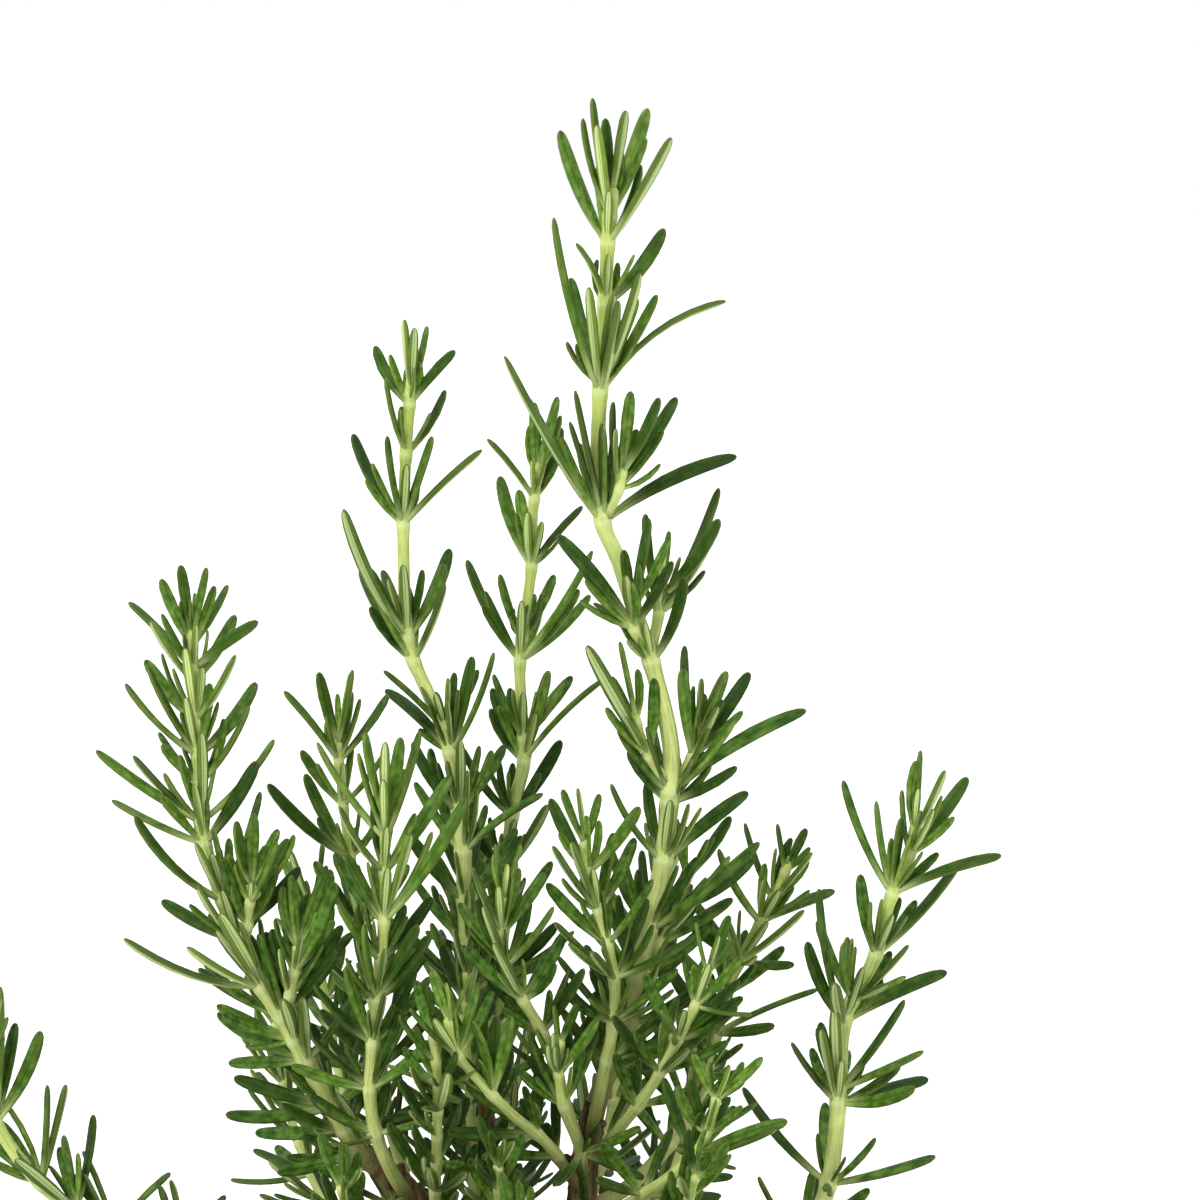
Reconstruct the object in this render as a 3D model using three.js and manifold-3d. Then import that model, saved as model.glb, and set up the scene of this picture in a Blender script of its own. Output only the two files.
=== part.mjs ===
// A rosemary plant in a plain clay pot, in millimetres, with +Z up.
// The origin is the middle of the pot's flat base, where it stands.
// Three rooted woody stems and two long whips stand in the soil, and leafy shoots grow from them.

import * as THREE from 'three';
import { mergeVertices } from 'three/addons/utils/BufferGeometryUtils.js';
import Module from 'manifold-3d';

const wasm = await Module();
wasm.setup();

// Pot
const potHeight = 125;
const baseRadius = 47;
const rimRadius = 70;
const bandHeight = 27;
const bandStep = 3.5;
const wall = 6.5;
const floorThickness = 9;
const bandSlope = 1.8;
const edgeRound = 1.5;
const insideFoot = 42;
const footRound = 4;
const drainRadius = 4.5;
const drainCircle = 24;
const drainCount = 3;
const drainSides = 16;
const potSides = 40;

// Soil
const soilTop = 112;
const soilRipple = 1.3;
const soilRings = [0.8, 0.54, 0.28];
const soilSides = 24;
const gap = 0.35;

// Shoots and leaves
const woodSides = 8;
const stemSides = 4;
const stemStep = 11;
const rootedShoots = ['shoot_far_right', 'shoot_low_left'];
const leafWidth = 2.6;
const leafDepth = 1.3;
const fullWidthFrom = 18;
const slimmest = 0.4;
const leafSides = 3;
const longLeaf = 20;
const shortRings = [[0, 0], [0.5, 1], [1, 0]];
const longRings = [[0, 0], [0.38, 1], [0.8, 0.85], [1, 0]];
const rootSunk = 1.1;
const leafTilt = 0.36;
const lightTurn = 0.85;
const fullTiltSpread = 6;
const tuftSpread = 24;
const tuftTurn = [18, 62];
const tuftSize = [0.9, 1.3];
const longestTuft = 17;
const tuftWidth = 2.2;
const tuftBow = 0.3;
const lastNode = 0.985;
const nodeStep = 0.002;

// Nodes made by rule: leaves shorten and close in towards the tip, each a little its own way.
const fillLean = 42;
const fullAtFoot = 1.13;
const shortensBy = 0.35;
const closesBy = 0.5;
const fillBow = [0.2, 0.8];
const lengthJitter = [0.85, 1.1];
const turnJitter = 14;
const sideJitter = 8;
const leanJitter = 6;
const fewestRows = 3;

// Room round a leaf: it is tested as a row of balls, and the part near its root is let off
// from the leaves of its own shoot.
const cell = 4;
const ballStep = 1.2;
const ballRadius = 1.25;
const tipBall = 0.94;
const tipShare = 0.85;
const rootShare = 0.35;
const clearance = 0.4;
const ownClearance = -0.7;
const potClearance = 3;
const turnTries = [0, 14, -14, 28, -28, 44, -44];
const lengthTries = [1, 0.8, 0.62];

// Shoots with rows are planned as seen from the front, slightly from above: their routes are
// given as the place across, the depth and the height seen. Shoots with a fill are in true places.
const viewDistance = 750;
const viewMiddle = [14.4, 0, 256];
const viewTilt = THREE.MathUtils.degToRad(6);

const away = new THREE.Vector3(0, 1, 0);
const light = new THREE.Vector3(0, -0.94, 0.34);
const sameCorner = 1e-4;

const clay = new THREE.MeshStandardMaterial({ color: 0xb5674a, roughness: 0.88, metalness: 0 });
const earth = new THREE.MeshStandardMaterial({ color: 0x3b2a1e, roughness: 0.97, metalness: 0 });
const bark = new THREE.MeshStandardMaterial({ color: 0x6f5a40, roughness: 0.9, metalness: 0 });
const foliage = new THREE.MeshStandardMaterial({ color: 0x4f7a32, roughness: 0.55, metalness: 0 });

// A woody stem: its girth is the diameter at the foot and at the top.
const woods = [
  {
    name: 'wood_left', girth: [7, 4.2],
    route: [
      [-19, 2, 72], [-18.5, 2, 100], [-17.5, 1, 122], [-16.5, 0, 134], [-17.5, -2, 143],
      [-21.5, -4, 149.5], [-26.5, -5.2, 154],
    ],
  },
  {
    name: 'wood_centre', girth: [7.5, 3.4],
    route: [[-4, 8, 70], [-4, 8, 100], [-5, 8, 130], [-7, 9, 150], [-7.5, 9.5, 166], [-8.3, 10, 178]],
  },
  {
    name: 'wood_right', girth: [7.5, 4],
    route: [[9, 3, 70], [9, 2, 104], [10, 1, 130], [11, 0, 146], [12.3, 0, 158], [13.6, 0, 164]],
  },
];

// A row is one node of a stem: its height, then the left and the right leaf as the tip's
// distance across and up from the node with the leaf's bow, then the length of its tuft.
// A fill makes rows by rule: from is the share of the stem where they begin, gap is the length
// between two rows and leaf is the leaf's length.
const shoots = [
  {
    name: 'shoot_leader', girth: [3.8, 2.3],
    route: [
      [12.3, 0, 158], [14.6, -0.5, 168], [19.2, -1, 178], [21.4, -1, 188], [23.2, -1, 198],
      [25.8, -1, 209],
      [27, -1, 221], [27, -1, 231], [23.6, -1.5, 245], [21, -2, 253], [17.8, -2, 263], [14.9, -2, 270],
      [14, -2, 281], [14.4, -2, 293], [15.3, -1, 309], [15.8, 0, 320], [16.6, 0, 331],
    ],
    rows: [
      [172, [-8.5, 11, 0.5], [13.5, 6, 0.5], 8], [180, [-7.5, 13.5, 0.5], [12, 7, 0.5], 8],
      [188, [-9.5, 12, 0.5], [13, 10, 0.8], 9], [197, [-6, 14, 1], [14, 12, 0.8], 12],
      [209, [-9, 14, 1], [15, 12, -0.6], 11], [219.4, [-7, 9, 0.5], [11.5, 6.5, 0.5], 9],
      [221.4, [-9, 12, 0.6], [24.5, 14.5, -1.6], 12],
      [245, [-10, 10.5, -1.5], [5.5, 15, 1], 9], [270, [-17, 29, 1], [24, 12, -1.6], 20],
      [271.2, [-13.5, 22, 1], [-4.6, 22, 0.3], 0],
      [293, [-8, 30, 1.6], [22.5, 17, -3], 17], [294.5, [-5.2, 19.5, 0.8], [6.8, 19.3, 0.8], 0],
      [309, [-5, 10.5, -1], [10.5, 14, 1], 10],
      [320, [-8.5, 21, 1], [11, 18, 0.5], 10], [325, [-3, 20.5, 0.3], [6.8, 20, 0.3], 17],
      [329, [-1, 14, 0], [2.5, 15, 0], 0],
    ],
    sides: [
      {
        girth: [2.1, 1.4], route: [[14.9, -2, 270], [17.6, -3.4, 275.5], [18.6, -4, 280]],
        rows: [[276, [-1, 15.5, 0.5], [10.4, 16.7, 0.5], 12], [279, [1.5, 14.5, 0], [6.5, 13, 0.5], 0]],
      },
      {
        girth: [2.2, 1.4], route: [[23.4, -1.5, 246], [20.4, -5, 251], [20.2, -6, 255]],
        rows: [[251, [-13.5, 16.5, -0.5], [7, 12, 0.5], 12], [254, [-1.5, 11, 0], [3, 16.5, 0], 0]],
      },
      {
        girth: [2.2, 1.4], route: [[23.4, -1.5, 246], [24.9, 1.4, 253], [25.2, 2, 257.5]],
        rows: [[253.5, [-2.5, 18, 0.5], [11, 23, 1], 12], [256.5, [1.7, 12, 0], [10.5, 14, 1], 0]],
      },
      {
        girth: [2.1, 1.4], route: [[27, -1, 222], [22.6, -4, 229], [20.4, -5, 236]],
        rows: [[228, [-11, 20, 1.5], [1, 14, 0.5], 10], [234, [-8, 13, 1], [-3, 14.5, 0], 0]],
      },
      {
        girth: [2.1, 1.4], route: [[27, -1, 221.5], [30, 0.8, 226], [31.8, 1.5, 230], [32.4, 2, 234]],
        rows: [[228, [-1.5, 20, 0.5], [10.5, 15, 0.5], 10], [232, [0.5, 10, 0], [4.5, 11, 0], 0]],
      },
      {
        girth: [2.2, 1.4], route: [[22, -1, 190], [25.4, 1, 195.5], [28.4, 3, 201], [30.4, 4, 207]],
        rows: [
          [194, [-2, 9, 0.3], [14, 8, 0.3], 8], [200, [-3, 12, 0.4], [15, 13, 0.5], 9],
          [206, [-2, 11, 0.3], [8, 11, 0.4], 8],
        ],
      },
    ],
  },
  {
    name: 'shoot_left_of_leader', girth: [3.3, 1.8],
    route: [
      [-7.8, 9.7, 170], [-9, 10, 188], [-9.9, 11, 202], [-10.3, 12, 211], [-11.7, 13, 224],
      [-13.7, 14, 233],
      [-16.9, 15, 240], [-20.2, 16, 249], [-21, 16, 266], [-20.7, 16, 279], [-19.8, 16, 292],
      [-19.4, 16, 299],
    ],
    rows: [
      [186, [-10.5, 10.5, 0.5], [11, 10, 0.5], 8], [194, [-10, 12, 0.5], [10, 12, 0.5], 9],
      [202, [-10, 13, 0.5], [9, 13, 0.5], 9], [210.6, [-6, 19, 1.5], [14.5, 11, -1], 13],
      [218, [-8, 13, 1], [8, 12, 0.5], 10], [228.5, [-12, 11.5, -1], [8, 18.5, 1], 11],
      [233, [-10.5, 10.5, -0.5], [6, 10.5, 0.5], 9], [245, [-10, 17, 1], [6, 14, 0.5], 0],
      [249, [-11, 23.5, 2], [7.5, 16.5, 1], 14],
      [269.5, [-9.5, 17, 1.2], [14.6, 13.5, -0.5], 10], [282, [-3.5, 13.5, 0.5], [7, 12, 1], 8],
      [291, [-6.5, 11, 1], [8.5, 9.5, -0.5], 8], [293, [-1, 13.5, 0], [3, 12.5, 0.3], 0],
    ],
    sides: [],
  },
  {
    name: 'shoot_behind_leader', girth: [2.9, 1.7],
    route: [
      [-7, 9.4, 160], [-5, 15, 172], [-4, 19, 184], [-3.2, 22, 196], [-2.7, 23, 208], [-0.9, 24, 220],
      [0.7, 24, 228], [0, 25, 245], [2, 26, 261], [2.4, 26, 272], [3.4, 26, 281],
    ],
    rows: [
      [180, [-10, 11, 0.5], [10, 10, 0.5], 8], [188, [-9, 12.5, 0.5], [9, 11, 0.5], 9],
      [197, [-8, 12, 0.5], [9, 12, 0.5], 9], [207, [-8, 12, 0.5], [8, 13, 0.5], 9],
      [217, [-9, 13, 1], [9, 14, 0.5], 10], [227, [-6, 13.5, 0.5], [15, 15.5, -1], 11],
      [231, [-7, 12, 0.5], [9, 11.5, 0], 9], [245, [-10, 19, 1], [13.5, 20.5, 1], 12],
      [249, [-4, 12, 0.5], [6, 12, 0.5], 0], [262, [-6, 17, 1], [9.5, 11, -0.5], 9],
      [274, [-8.5, 11, -0.5], [5, 13.5, 0.5], 8], [278, [-0.5, 14, 0], [2.8, 15, 0], 0],
    ],
    sides: [],
  },
  {
    name: 'shoot_far_left', girth: [3.9, 1.8],
    route: [
      [-25.5, -5, 153.6], [-30, -6.6, 158.5], [-33.3, -8, 164], [-37.4, -10, 171], [-42.3, -12, 180],
      [-48.6, -13, 190],
      [-53.8, -13, 203], [-57, -12, 213], [-57.8, -11, 224], [-58.5, -10, 238], [-59.2, -10, 251],
    ],
    rows: [
      [157, [-14, -3, 0.5], [11, 7.5, 0.5], 8], [161, [-16, -1.5, 0.5], [15, 3.8, -0.3], 0],
      [165, [-18, -0.5, 1], [10, 10, 0.5], 9],
      [173, [-16, 8, 1], [9, 13, 0.5], 11], [177, [-12, 5, 0.5], [2.5, 18, 0.3], 0],
      [181, [-14, 9, 1], [10, 12, 0.5], 10],
      [186.5, [-23, 9.5, 2], [8, 16, 0.5], 13], [194.5, [-14, 7, 0.5], [7, 14, 0.5], 10],
      [202, [-14.5, 15.5, 2], [6, 19, 0.5], 11], [212, [-17, 7.5, 0.5], [10, 15, 0.5], 9],
      [216, [-17.5, 13, 0.5], [12.5, 14.5, 1], 12], [223, [-7.5, 9, 0.5], [9.5, 14, 1], 9],
      [228, [-12, 13, 1], [10, 13, 1], 9], [234, [-9.5, 11, 0.5], [7.5, 12, 0.5], 9],
      [241, [-7, 11, 0.5], [7, 12, 0.5], 0], [243.5, [-12, 12, -0.5], [12, 8.5, -0.5], 9],
      [247.5, [-5, 12, 0.3], [6, 11, 0.3], 9], [249.5, [-2, 13, 0], [3, 12.5, 0], 0],
      [156, [-4.5, -14, 0.3], [12.5, -9.5, 0.4], 0],
    ],
    sides: [
      {
        girth: [2.1, 1.4], route: [[-50, -13, 193], [-49, -16, 198], [-48.2, -17, 205]],
        rows: [
          [197.5, [-4, 12, 0.3], [9, 10, 0.5], 9], [201.5, [-2.5, 14.5, 0.2], [8, 11.5, 0.5], 8],
          [204.5, [0.5, 13, 0], [4.5, 10, 0], 0],
        ],
      },
      {
        girth: [2.2, 1.4], route: [[-42.3, -12, 180], [-41, -15, 187], [-40, -16.5, 194]],
        rows: [
          [185, [-3, 12, 0.3], [9, 12, 0.5], 10], [189, [-1.5, 15, 0.4], [8, 16.5, 0.5], 9],
          [193.5, [-1, 13, 0], [4.5, 12.5, 0.2], 0],
        ],
      },
    ],
  },
  {
    name: 'shoot_small_left', girth: [2.3, 1.5],
    route: [
      [-17.5, -1, 143], [-19.5, 6, 149], [-22.5, 10.5, 158], [-25, 12, 172], [-27, 13, 188], [-30, 13, 206],
      [-31.8, 13, 219], [-33, 13, 231],
    ],
    rows: [
      [160, [-11, 7.5, 0.5], [10, 8.5, 0.5], 0], [172, [-11.5, 10, 0.5], [10, 11, 0.5], 8],
      [184, [-10, 10, 0.5], [10, 11.5, 0.5], 8], [197, [-9, 12, 0.5], [9, 12, 0.5], 8],
      [209.5, [-14.5, 14, 1], [8, 11, 0.5], 9], [219, [-8, 10, 0.5], [8, 10, 0.5], 9],
      [227, [-9.5, 13, -0.5], [8, 12.5, 0.5], 11], [230, [-3.5, 13.5, 0.3], [3, 14, 0.3], 0],
    ],
    sides: [],
  },
  {
    name: 'shoot_mid_left', girth: [2.7, 1.6],
    route: [
      [-19, -3, 147.3], [-22.5, -10, 152], [-25.8, -13.5, 159.5], [-27, -15, 168], [-25.9, -16, 183],
      [-24.5, -16, 198],
      [-24.4, -15, 208], [-24, -15, 217],
    ],
    rows: [
      [160, [-10, 6, 0.5], [11, 7.5, 0.5], 0], [168, [-11, 10, 0.5], [12, 9.5, 0.5], 8],
      [176, [-10, 11, 0.5], [10, 11.5, 0.5], 8], [184, [-8, 14, 1], [10, 12, 0.5], 10],
      [191, [-8.5, 11, 0.5], [9, 11, 0.5], 8], [198, [-9, 12, 1], [15, 22.5, 1], 12],
      [207, [-7.5, 12, 1], [11.5, 17, 0.5], 10], [213, [-12.5, 17, 1], [6.5, 19.5, 0.5], 13],
      [216, [-3.5, 16, 0.5], [2.5, 15, 0.3], 0],
    ],
    sides: [],
  },
  {
    name: 'shoot_mid_right', girth: [2.9, 1.6],
    route: [
      [11, 0, 146], [19, 7, 150], [26, 12, 157], [31.9, 15, 167], [35.3, 16, 178], [37, 16, 185],
      [39.6, 16, 191],
      [45.9, 15, 203], [48.5, 15, 209],
    ],
    rows: [
      [158, [-7.5, 10, 0.5], [11, 5, 0.5], 0], [164, [-10, 10, 0.5], [10, 6, 0.5], 8],
      [171, [-10, 10, 0.5], [7, 5, 0], 8], [178, [-9, 12.5, 0.5], [18.5, 9, -0.6], 9],
      [185, [-10.5, 10.5, 0.5], [11, 8.5, 0.5], 8], [191, [-12, 10, 0.5], [11.5, 10, 0.5], 9],
      [198, [-8, 14, 0.8], [14, 5.5, -0.5], 9], [202, [-5, 14, 0.5], [7, 9, 0.3], 8],
      [207, [-1.5, 9, 0], [4, 8, 0], 0],
    ],
    sides: [],
  },
  {
    name: 'shoot_far_right', girth: [3.9, 1.8],
    route: [
      [36, 8, 84], [38, 7, 112], [44, 6, 128], [51, 4, 141], [55, 2, 149], [57, 0, 161], [58, 0, 178],
      [60.3, 0, 185], [64, 0, 192], [66.6, 0, 202], [70.4, 0, 211], [71.5, 0, 218],
    ],
    rows: [
      [124, [-8.5, 8.5, 0.5], [11, 7.5, 0.5], 0], [132, [-10.5, 10.5, 1], [11, 8.5, 0.5], 0],
      [141, [-8, 12, 0.8], [12, 8.5, 0.5], 8],
      [151, [-13, 18, 1.2], [18.5, 6, 0.5], 9],
      [165.5, [-8.5, 11.5, 0.5], [16.5, 3.5, 0], 8], [168, [-3.5, 11, 0.3], [11, 17, 0.5], 0],
      [180, [-5, 25, 1], [19, 8.5, -1], 10], [184, [-6, 14, 0.5], [9.5, 10.5, 0.5], 9],
      [192, [-3, 15, 0.5], [16, 17, 1], 9], [203, [-8.5, 20.5, 1], [19, 7.5, -1], 9],
      [210, [-1.5, 12, 0.3], [11, 14, 0.5], 9], [214, [1, 15, 0], [5, 11.5, 0.3], 0],
    ],
    sides: [],
  },
  {
    name: 'shoot_low_left', girth: [3.5, 1.7],
    route: [
      [-37, -12, 86], [-39, -12, 112], [-47, -13, 124], [-60, -13, 135], [-74, -12, 142.5],
      [-84, -12, 149],
      [-92, -12, 158], [-98, -12, 170], [-101, -12, 182], [-102, -12, 188],
    ],
    rows: [
      [122, [-6, 12, 0.5], [10, 8.5, 0.5], 0], [130, [-7.5, 13.5, 0.5], [5, 14, 0.5], 0],
      [136, [-3, 15, 0.5], [8, 12, 0.5], 8],
      [142, [-6, 14, 0.5], [10, 10, 0.5], 9], [146, [-10, 10, 0.5], [3, 17, 0.5], 8],
      [151, [-11, 8.5, 0.5], [1.5, 18, 0.3], 8], [162, [-11, 10, 0.5], [1, 24.5, 0.5], 9],
      [172, [-11, 10, 0.5], [6, 13, 0.5], 8], [180, [-7, 10, 0.3], [5, 12, 0.3], 8],
      [186, [-2, 11, 0], [2.5, 11.5, 0], 0],
    ],
    sides: [],
  },
  {
    name: 'shoot_crossing_left', girth: [2.2, 1.5],
    route: [
      [12, 0, 154], [9, -7, 163], [4.5, -13, 177], [0.5, -16, 184], [-2.5, -17, 190],
      [-3.2, -17.5, 197], [-2.8, -18, 203],
    ],
    rows: [
      [170, [-10, 7.5, 0.3], [6, 11, 0.3], 0], [178, [-10, 10, 0.3], [7.5, 12, 0.3], 8],
      [184, [-10, 10, 0.5], [7.5, 12, 0.5], 8],
      [190, [-8.5, 11, 0.3], [8.5, 11, 0.5], 8], [196, [-5, 12, 0.5], [7.5, 10.5, 0.3], 8],
      [202, [-1.5, 10, 0], [3, 10, 0], 0],
    ],
    sides: [],
  },
  {
    name: 'shoot_reaching_left', girth: [2.2, 1.4],
    route: [
      [11.3, 0, 149], [5, -12, 158], [-1, -19, 163], [-6, -23, 168], [-11.5, -26, 174.5],
      [-13, -27, 181],
    ],
    rows: [
      [160, [-16, 3, 0.5], [5, 11, 0.5], 0], [167, [-10, 6, 0.3], [3.5, 14.5, 0.3], 8],
      [174, [-9, 9, 0.5], [6, 11, 0.5], 9], [180, [-3, 9, 0.2], [4, 9, 0.2], 0],
      [156, [-12.6, 1.2, 0.4], [4, 10, 0.3], 0],
    ],
    sides: [],
  },
  {
    name: 'shoot_front_tuft', girth: [2.1, 1.4],
    route: [[11.7, 0, 152], [10.5, -9, 158], [8, -15, 164], [7, -18, 170], [7.2, -19, 177]],
    rows: [
      [165, [-6, 14, 0.5], [9, 12, 0.3], 8], [171, [-4, 10, 0.3], [7, 10, 0.3], 7],
      [176, [-1, 7, 0], [2.5, 7.5, 0], 0], [156.5, [-0.8, -11, 0.3], [10, -6.5, 0.4], 0],
    ],
    sides: [],
  },
  {
    name: 'shoot_front_of_leader', girth: [2.4, 1.5],
    route: [
      [12.3, 0, 158], [14.5, -7.5, 168], [16.5, -9.5, 178], [17, -9.5, 187], [15.5, -9.5, 195],
      [13, -9, 204], [11.5, -8.5, 213],
    ],
    rows: [
      [173, [-8.5, 10, 0.3], [8.5, 10, 0.3], 0], [180, [-10, 11.5, 0.3], [11.5, 10, 0.3], 9],
      [188, [-10.5, 10.5, 0.3], [6, 14, 0.5], 8],
      [194, [-9, 12, 0.5], [8, 12, 0.5], 9], [200, [-8, 12, 0.5], [8, 13, 0.5], 9],
      [207, [-7, 13, 0.5], [9, 12, 0.5], 9], [212, [-4, 10, 0.2], [3, 9, 0.2], 0],
    ],
    sides: [],
  },
  {
    name: 'shoot_low_right', girth: [2.3, 1.4],
    route: [
      [10.7, 0.3, 142], [19, -11, 147], [26, -20, 151.5], [31, -23, 156], [34, -25, 161],
      [35.5, -26, 167],
    ],
    rows: [
      [149, [-7.5, 10, 0.3], [14, -1, 0.5], 0], [156, [-5, 13.5, 0.3], [16.5, 7, -0.3], 8],
      [160, [-3, 10, 0.3], [9, 5, 0.2], 7], [166, [-4, 8, 0.2], [8, 8, 0.2], 8],
    ],
    sides: [],
  },
  {
    name: 'shoot_reaching_right', girth: [2.3, 1.4],
    route: [
      [11.9, 0, 154], [18, -5.5, 161], [24, -11, 169], [29, -15, 178], [32, -16, 184],
      [34, -16, 190],
    ],
    rows: [
      [165, [-3.5, 11, 0.3], [11, 2.5, 0.3], 0], [171, [-5, 13.5, 0.4], [12, 6, 0.3], 8],
      [177, [-6, 12, 0.4], [11, 10, 0.3], 8], [183, [-4, 9, 0.3], [8, 9, 0.3], 8],
      [189, [-2, 9, 0.2], [4, 10, 0.2], 0],
    ],
    sides: [],
  },
  {
    name: 'shoot_front_left', girth: [2.2, 1.4],
    route: [
      [-17.2, 1, 127], [-16, -9, 139], [-15, -17, 152], [-14.5, -21, 163], [-14.2, -24, 173],
      [-15, -26, 182],
    ],
    fill: { from: 0.3, gap: 6.5, leaf: 14 },
    rows: [], sides: [],
  },
  {
    name: 'shoot_centre_front', girth: [2.3, 1.4],
    route: [[-5, 8, 124], [-7, 0, 136], [-8.5, -5, 150], [-9, -7, 164], [-9.5, -8, 178], [-9.5, -8, 190]],
    fill: { from: 0.25, gap: 6.5, leaf: 14 },
    rows: [], sides: [],
  },
  {
    name: 'shoot_centre_low', girth: [2.1, 1.4],
    route: [[9.6, 1.5, 122], [3, -9, 132], [-2, -18, 142], [-3.5, -23, 151], [-3.5, -27, 159]],
    fill: { from: 0.3, gap: 6.5, leaf: 14 },
    rows: [], sides: [],
  },
  {
    name: 'shoot_front_low_right', girth: [2.2, 1.4],
    route: [[9.8, 1, 126], [17, -12, 134], [23, -26, 142], [28, -38, 151], [31, -46, 162]],
    fill: { from: 0.3, gap: 6.5, leaf: 15 },
    rows: [], sides: [],
  },
  {
    name: 'shoot_front_low_left', girth: [2.2, 1.4],
    route: [[-17.7, 1.2, 120], [-23, -10, 129], [-27, -24, 138], [-29, -37, 148], [-30, -46, 160]],
    fill: { from: 0.3, gap: 6.5, leaf: 15 },
    rows: [], sides: [],
  },
  {
    name: 'shoot_front_low', girth: [2.1, 1.4],
    route: [[9, 2, 116], [6, -12, 123], [3, -28, 131], [1, -42, 141], [1, -51, 153]],
    fill: { from: 0.3, gap: 6.5, leaf: 15 },
    rows: [], sides: [],
  },
  {
    name: 'shoot_back_left', girth: [2.3, 1.4],
    route: [[-16.8, 0.4, 131], [-26, 13, 145], [-34, 24, 162], [-38, 33, 178], [-41, 39, 194]],
    fill: { from: 0.2, gap: 7, leaf: 16 },
    rows: [], sides: [],
  },
  {
    name: 'shoot_back_centre', girth: [2.3, 1.4],
    route: [[-5, 8, 134], [-8, 24, 150], [-11, 36, 168], [-12, 43, 186], [-11, 46, 202]],
    fill: { from: 0.2, gap: 7, leaf: 16 },
    rows: [], sides: [],
  },
  {
    name: 'shoot_back_right', girth: [2.3, 1.4],
    route: [[10.6, 0.4, 138], [15, 17, 151], [19, 30, 166], [23, 39, 181], [26, 44, 196]],
    fill: { from: 0.2, gap: 7, leaf: 16 },
    rows: [], sides: [],
  },
  {
    name: 'shoot_back_low_left', girth: [2.2, 1.4],
    route: [[-17.8, 1.4, 119], [-28, 16, 128], [-39, 32, 139], [-46, 45, 153], [-49, 53, 168]],
    fill: { from: 0.3, gap: 7, leaf: 16 },
    rows: [], sides: [],
  },
  {
    name: 'shoot_back_low', girth: [2.2, 1.4],
    route: [[-4.4, 8, 121], [-4, 25, 129], [-3, 43, 139], [-3, 57, 152], [-4, 65, 167]],
    fill: { from: 0.3, gap: 7, leaf: 16 },
    rows: [], sides: [],
  },
  {
    name: 'shoot_back_low_right', girth: [2.2, 1.4],
    route: [[9.3, 1.8, 118], [17, 16, 127], [26, 34, 138], [32, 50, 150], [34, 60, 165]],
    fill: { from: 0.3, gap: 7, leaf: 16 },
    rows: [], sides: [],
  },
];

// Seeded draws, the same on every run
let seed = 7;
function draw(low, high) {
  seed = (seed * 1664525 + 1013904223) % 4294967296;
  return low + (high - low) * (seed / 4294967296);
}

function vector(point) {
  return new THREE.Vector3(point[0], point[1], point[2]);
}

function solidOf(geometry) {
  const plain = geometry.clone();
  plain.deleteAttribute('normal');
  plain.deleteAttribute('uv');
  const merged = mergeVertices(plain, sameCorner);
  return new wasm.Manifold(new wasm.Mesh({
    numProp: 3,
    vertProperties: new Float32Array(merged.attributes.position.array),
    triVerts: new Uint32Array(merged.index.array),
  }));
}

function meshOf(solid, name, material) {
  const result = solid.getMesh();
  const geometry = new THREE.BufferGeometry();
  geometry.setAttribute('position', new THREE.BufferAttribute(result.vertProperties, 3));
  geometry.setIndex(new THREE.BufferAttribute(result.triVerts, 1));
  geometry.computeVertexNormals();
  const mesh = new THREE.Mesh(geometry, material);
  mesh.name = name;
  return mesh;
}

// Cutting can leave crumbs, so only the largest body of a piece is kept.
function largest(solid) {
  const bodies = solid.decompose();
  bodies.sort((one, other) => other.volume() - one.volume());
  return bodies[0];
}

function lathe(profile, sides) {
  const geometry = new THREE.LatheGeometry(profile.map(([r, z]) => new THREE.Vector2(r, z)), sides);
  return geometry.rotateX(Math.PI / 2);
}

// The true place of a point that is given as seen from the front, at its depth
function trueAt([x, depth, z]) {
  const [sin, cos] = [Math.sin(viewTilt), Math.cos(viewTilt)];
  const slope = (z - viewMiddle[2]) / viewDistance;
  const rise = (slope * (viewDistance + depth * cos) - depth * sin) / (cos + slope * sin);
  const size = (viewDistance + depth * cos - rise * sin) / viewDistance;
  return [viewMiddle[0] + (x - viewMiddle[0]) * size, depth, viewMiddle[2] + rise];
}

function routeOf(points) {
  return new THREE.CatmullRomCurve3(points.map(vector), false, 'catmullrom', 0.5);
}

function frameAt(route, share, girth) {
  const point = route.getPoint(share);
  const radius = girth[0] / 2 + (girth[1] - girth[0]) / 2 * share;
  const along = route.getTangent(share);
  const across = new THREE.Vector3().crossVectors(away, along).normalize();
  const back = new THREE.Vector3().crossVectors(along, across);
  return { point, radius, along, across, back };
}

// A tapered stem: a cylinder whose rings are carried to the route
function stemGeometry(route, girth, sides, extra) {
  const steps = Math.max(2, Math.round(route.getLength() / stemStep));
  const geometry = new THREE.CylinderGeometry(1, 1, 1, sides, steps);
  const position = geometry.attributes.position;
  for (let i = 0; i < position.count; i++) {
    const share = position.getY(i) + 0.5;
    const { point, radius, across, back } = frameAt(route, share, girth);
    point.addScaledVector(across, position.getZ(i) * (radius + extra));
    point.addScaledVector(back, position.getX(i) * (radius + extra));
    position.setXYZ(i, point.x, point.y, point.z);
  }
  return geometry;
}

// A leaf's upper side faces its stem, but is turned some way towards the light from the front.
function bladeAxes(along, upper) {
  const top = upper.clone().addScaledVector(along, -upper.dot(along)).normalize();
  top.addScaledVector(light, lightTurn);
  top.addScaledVector(along, -top.dot(along)).normalize();
  return [new THREE.Vector3().crossVectors(along, top), top];
}

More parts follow.
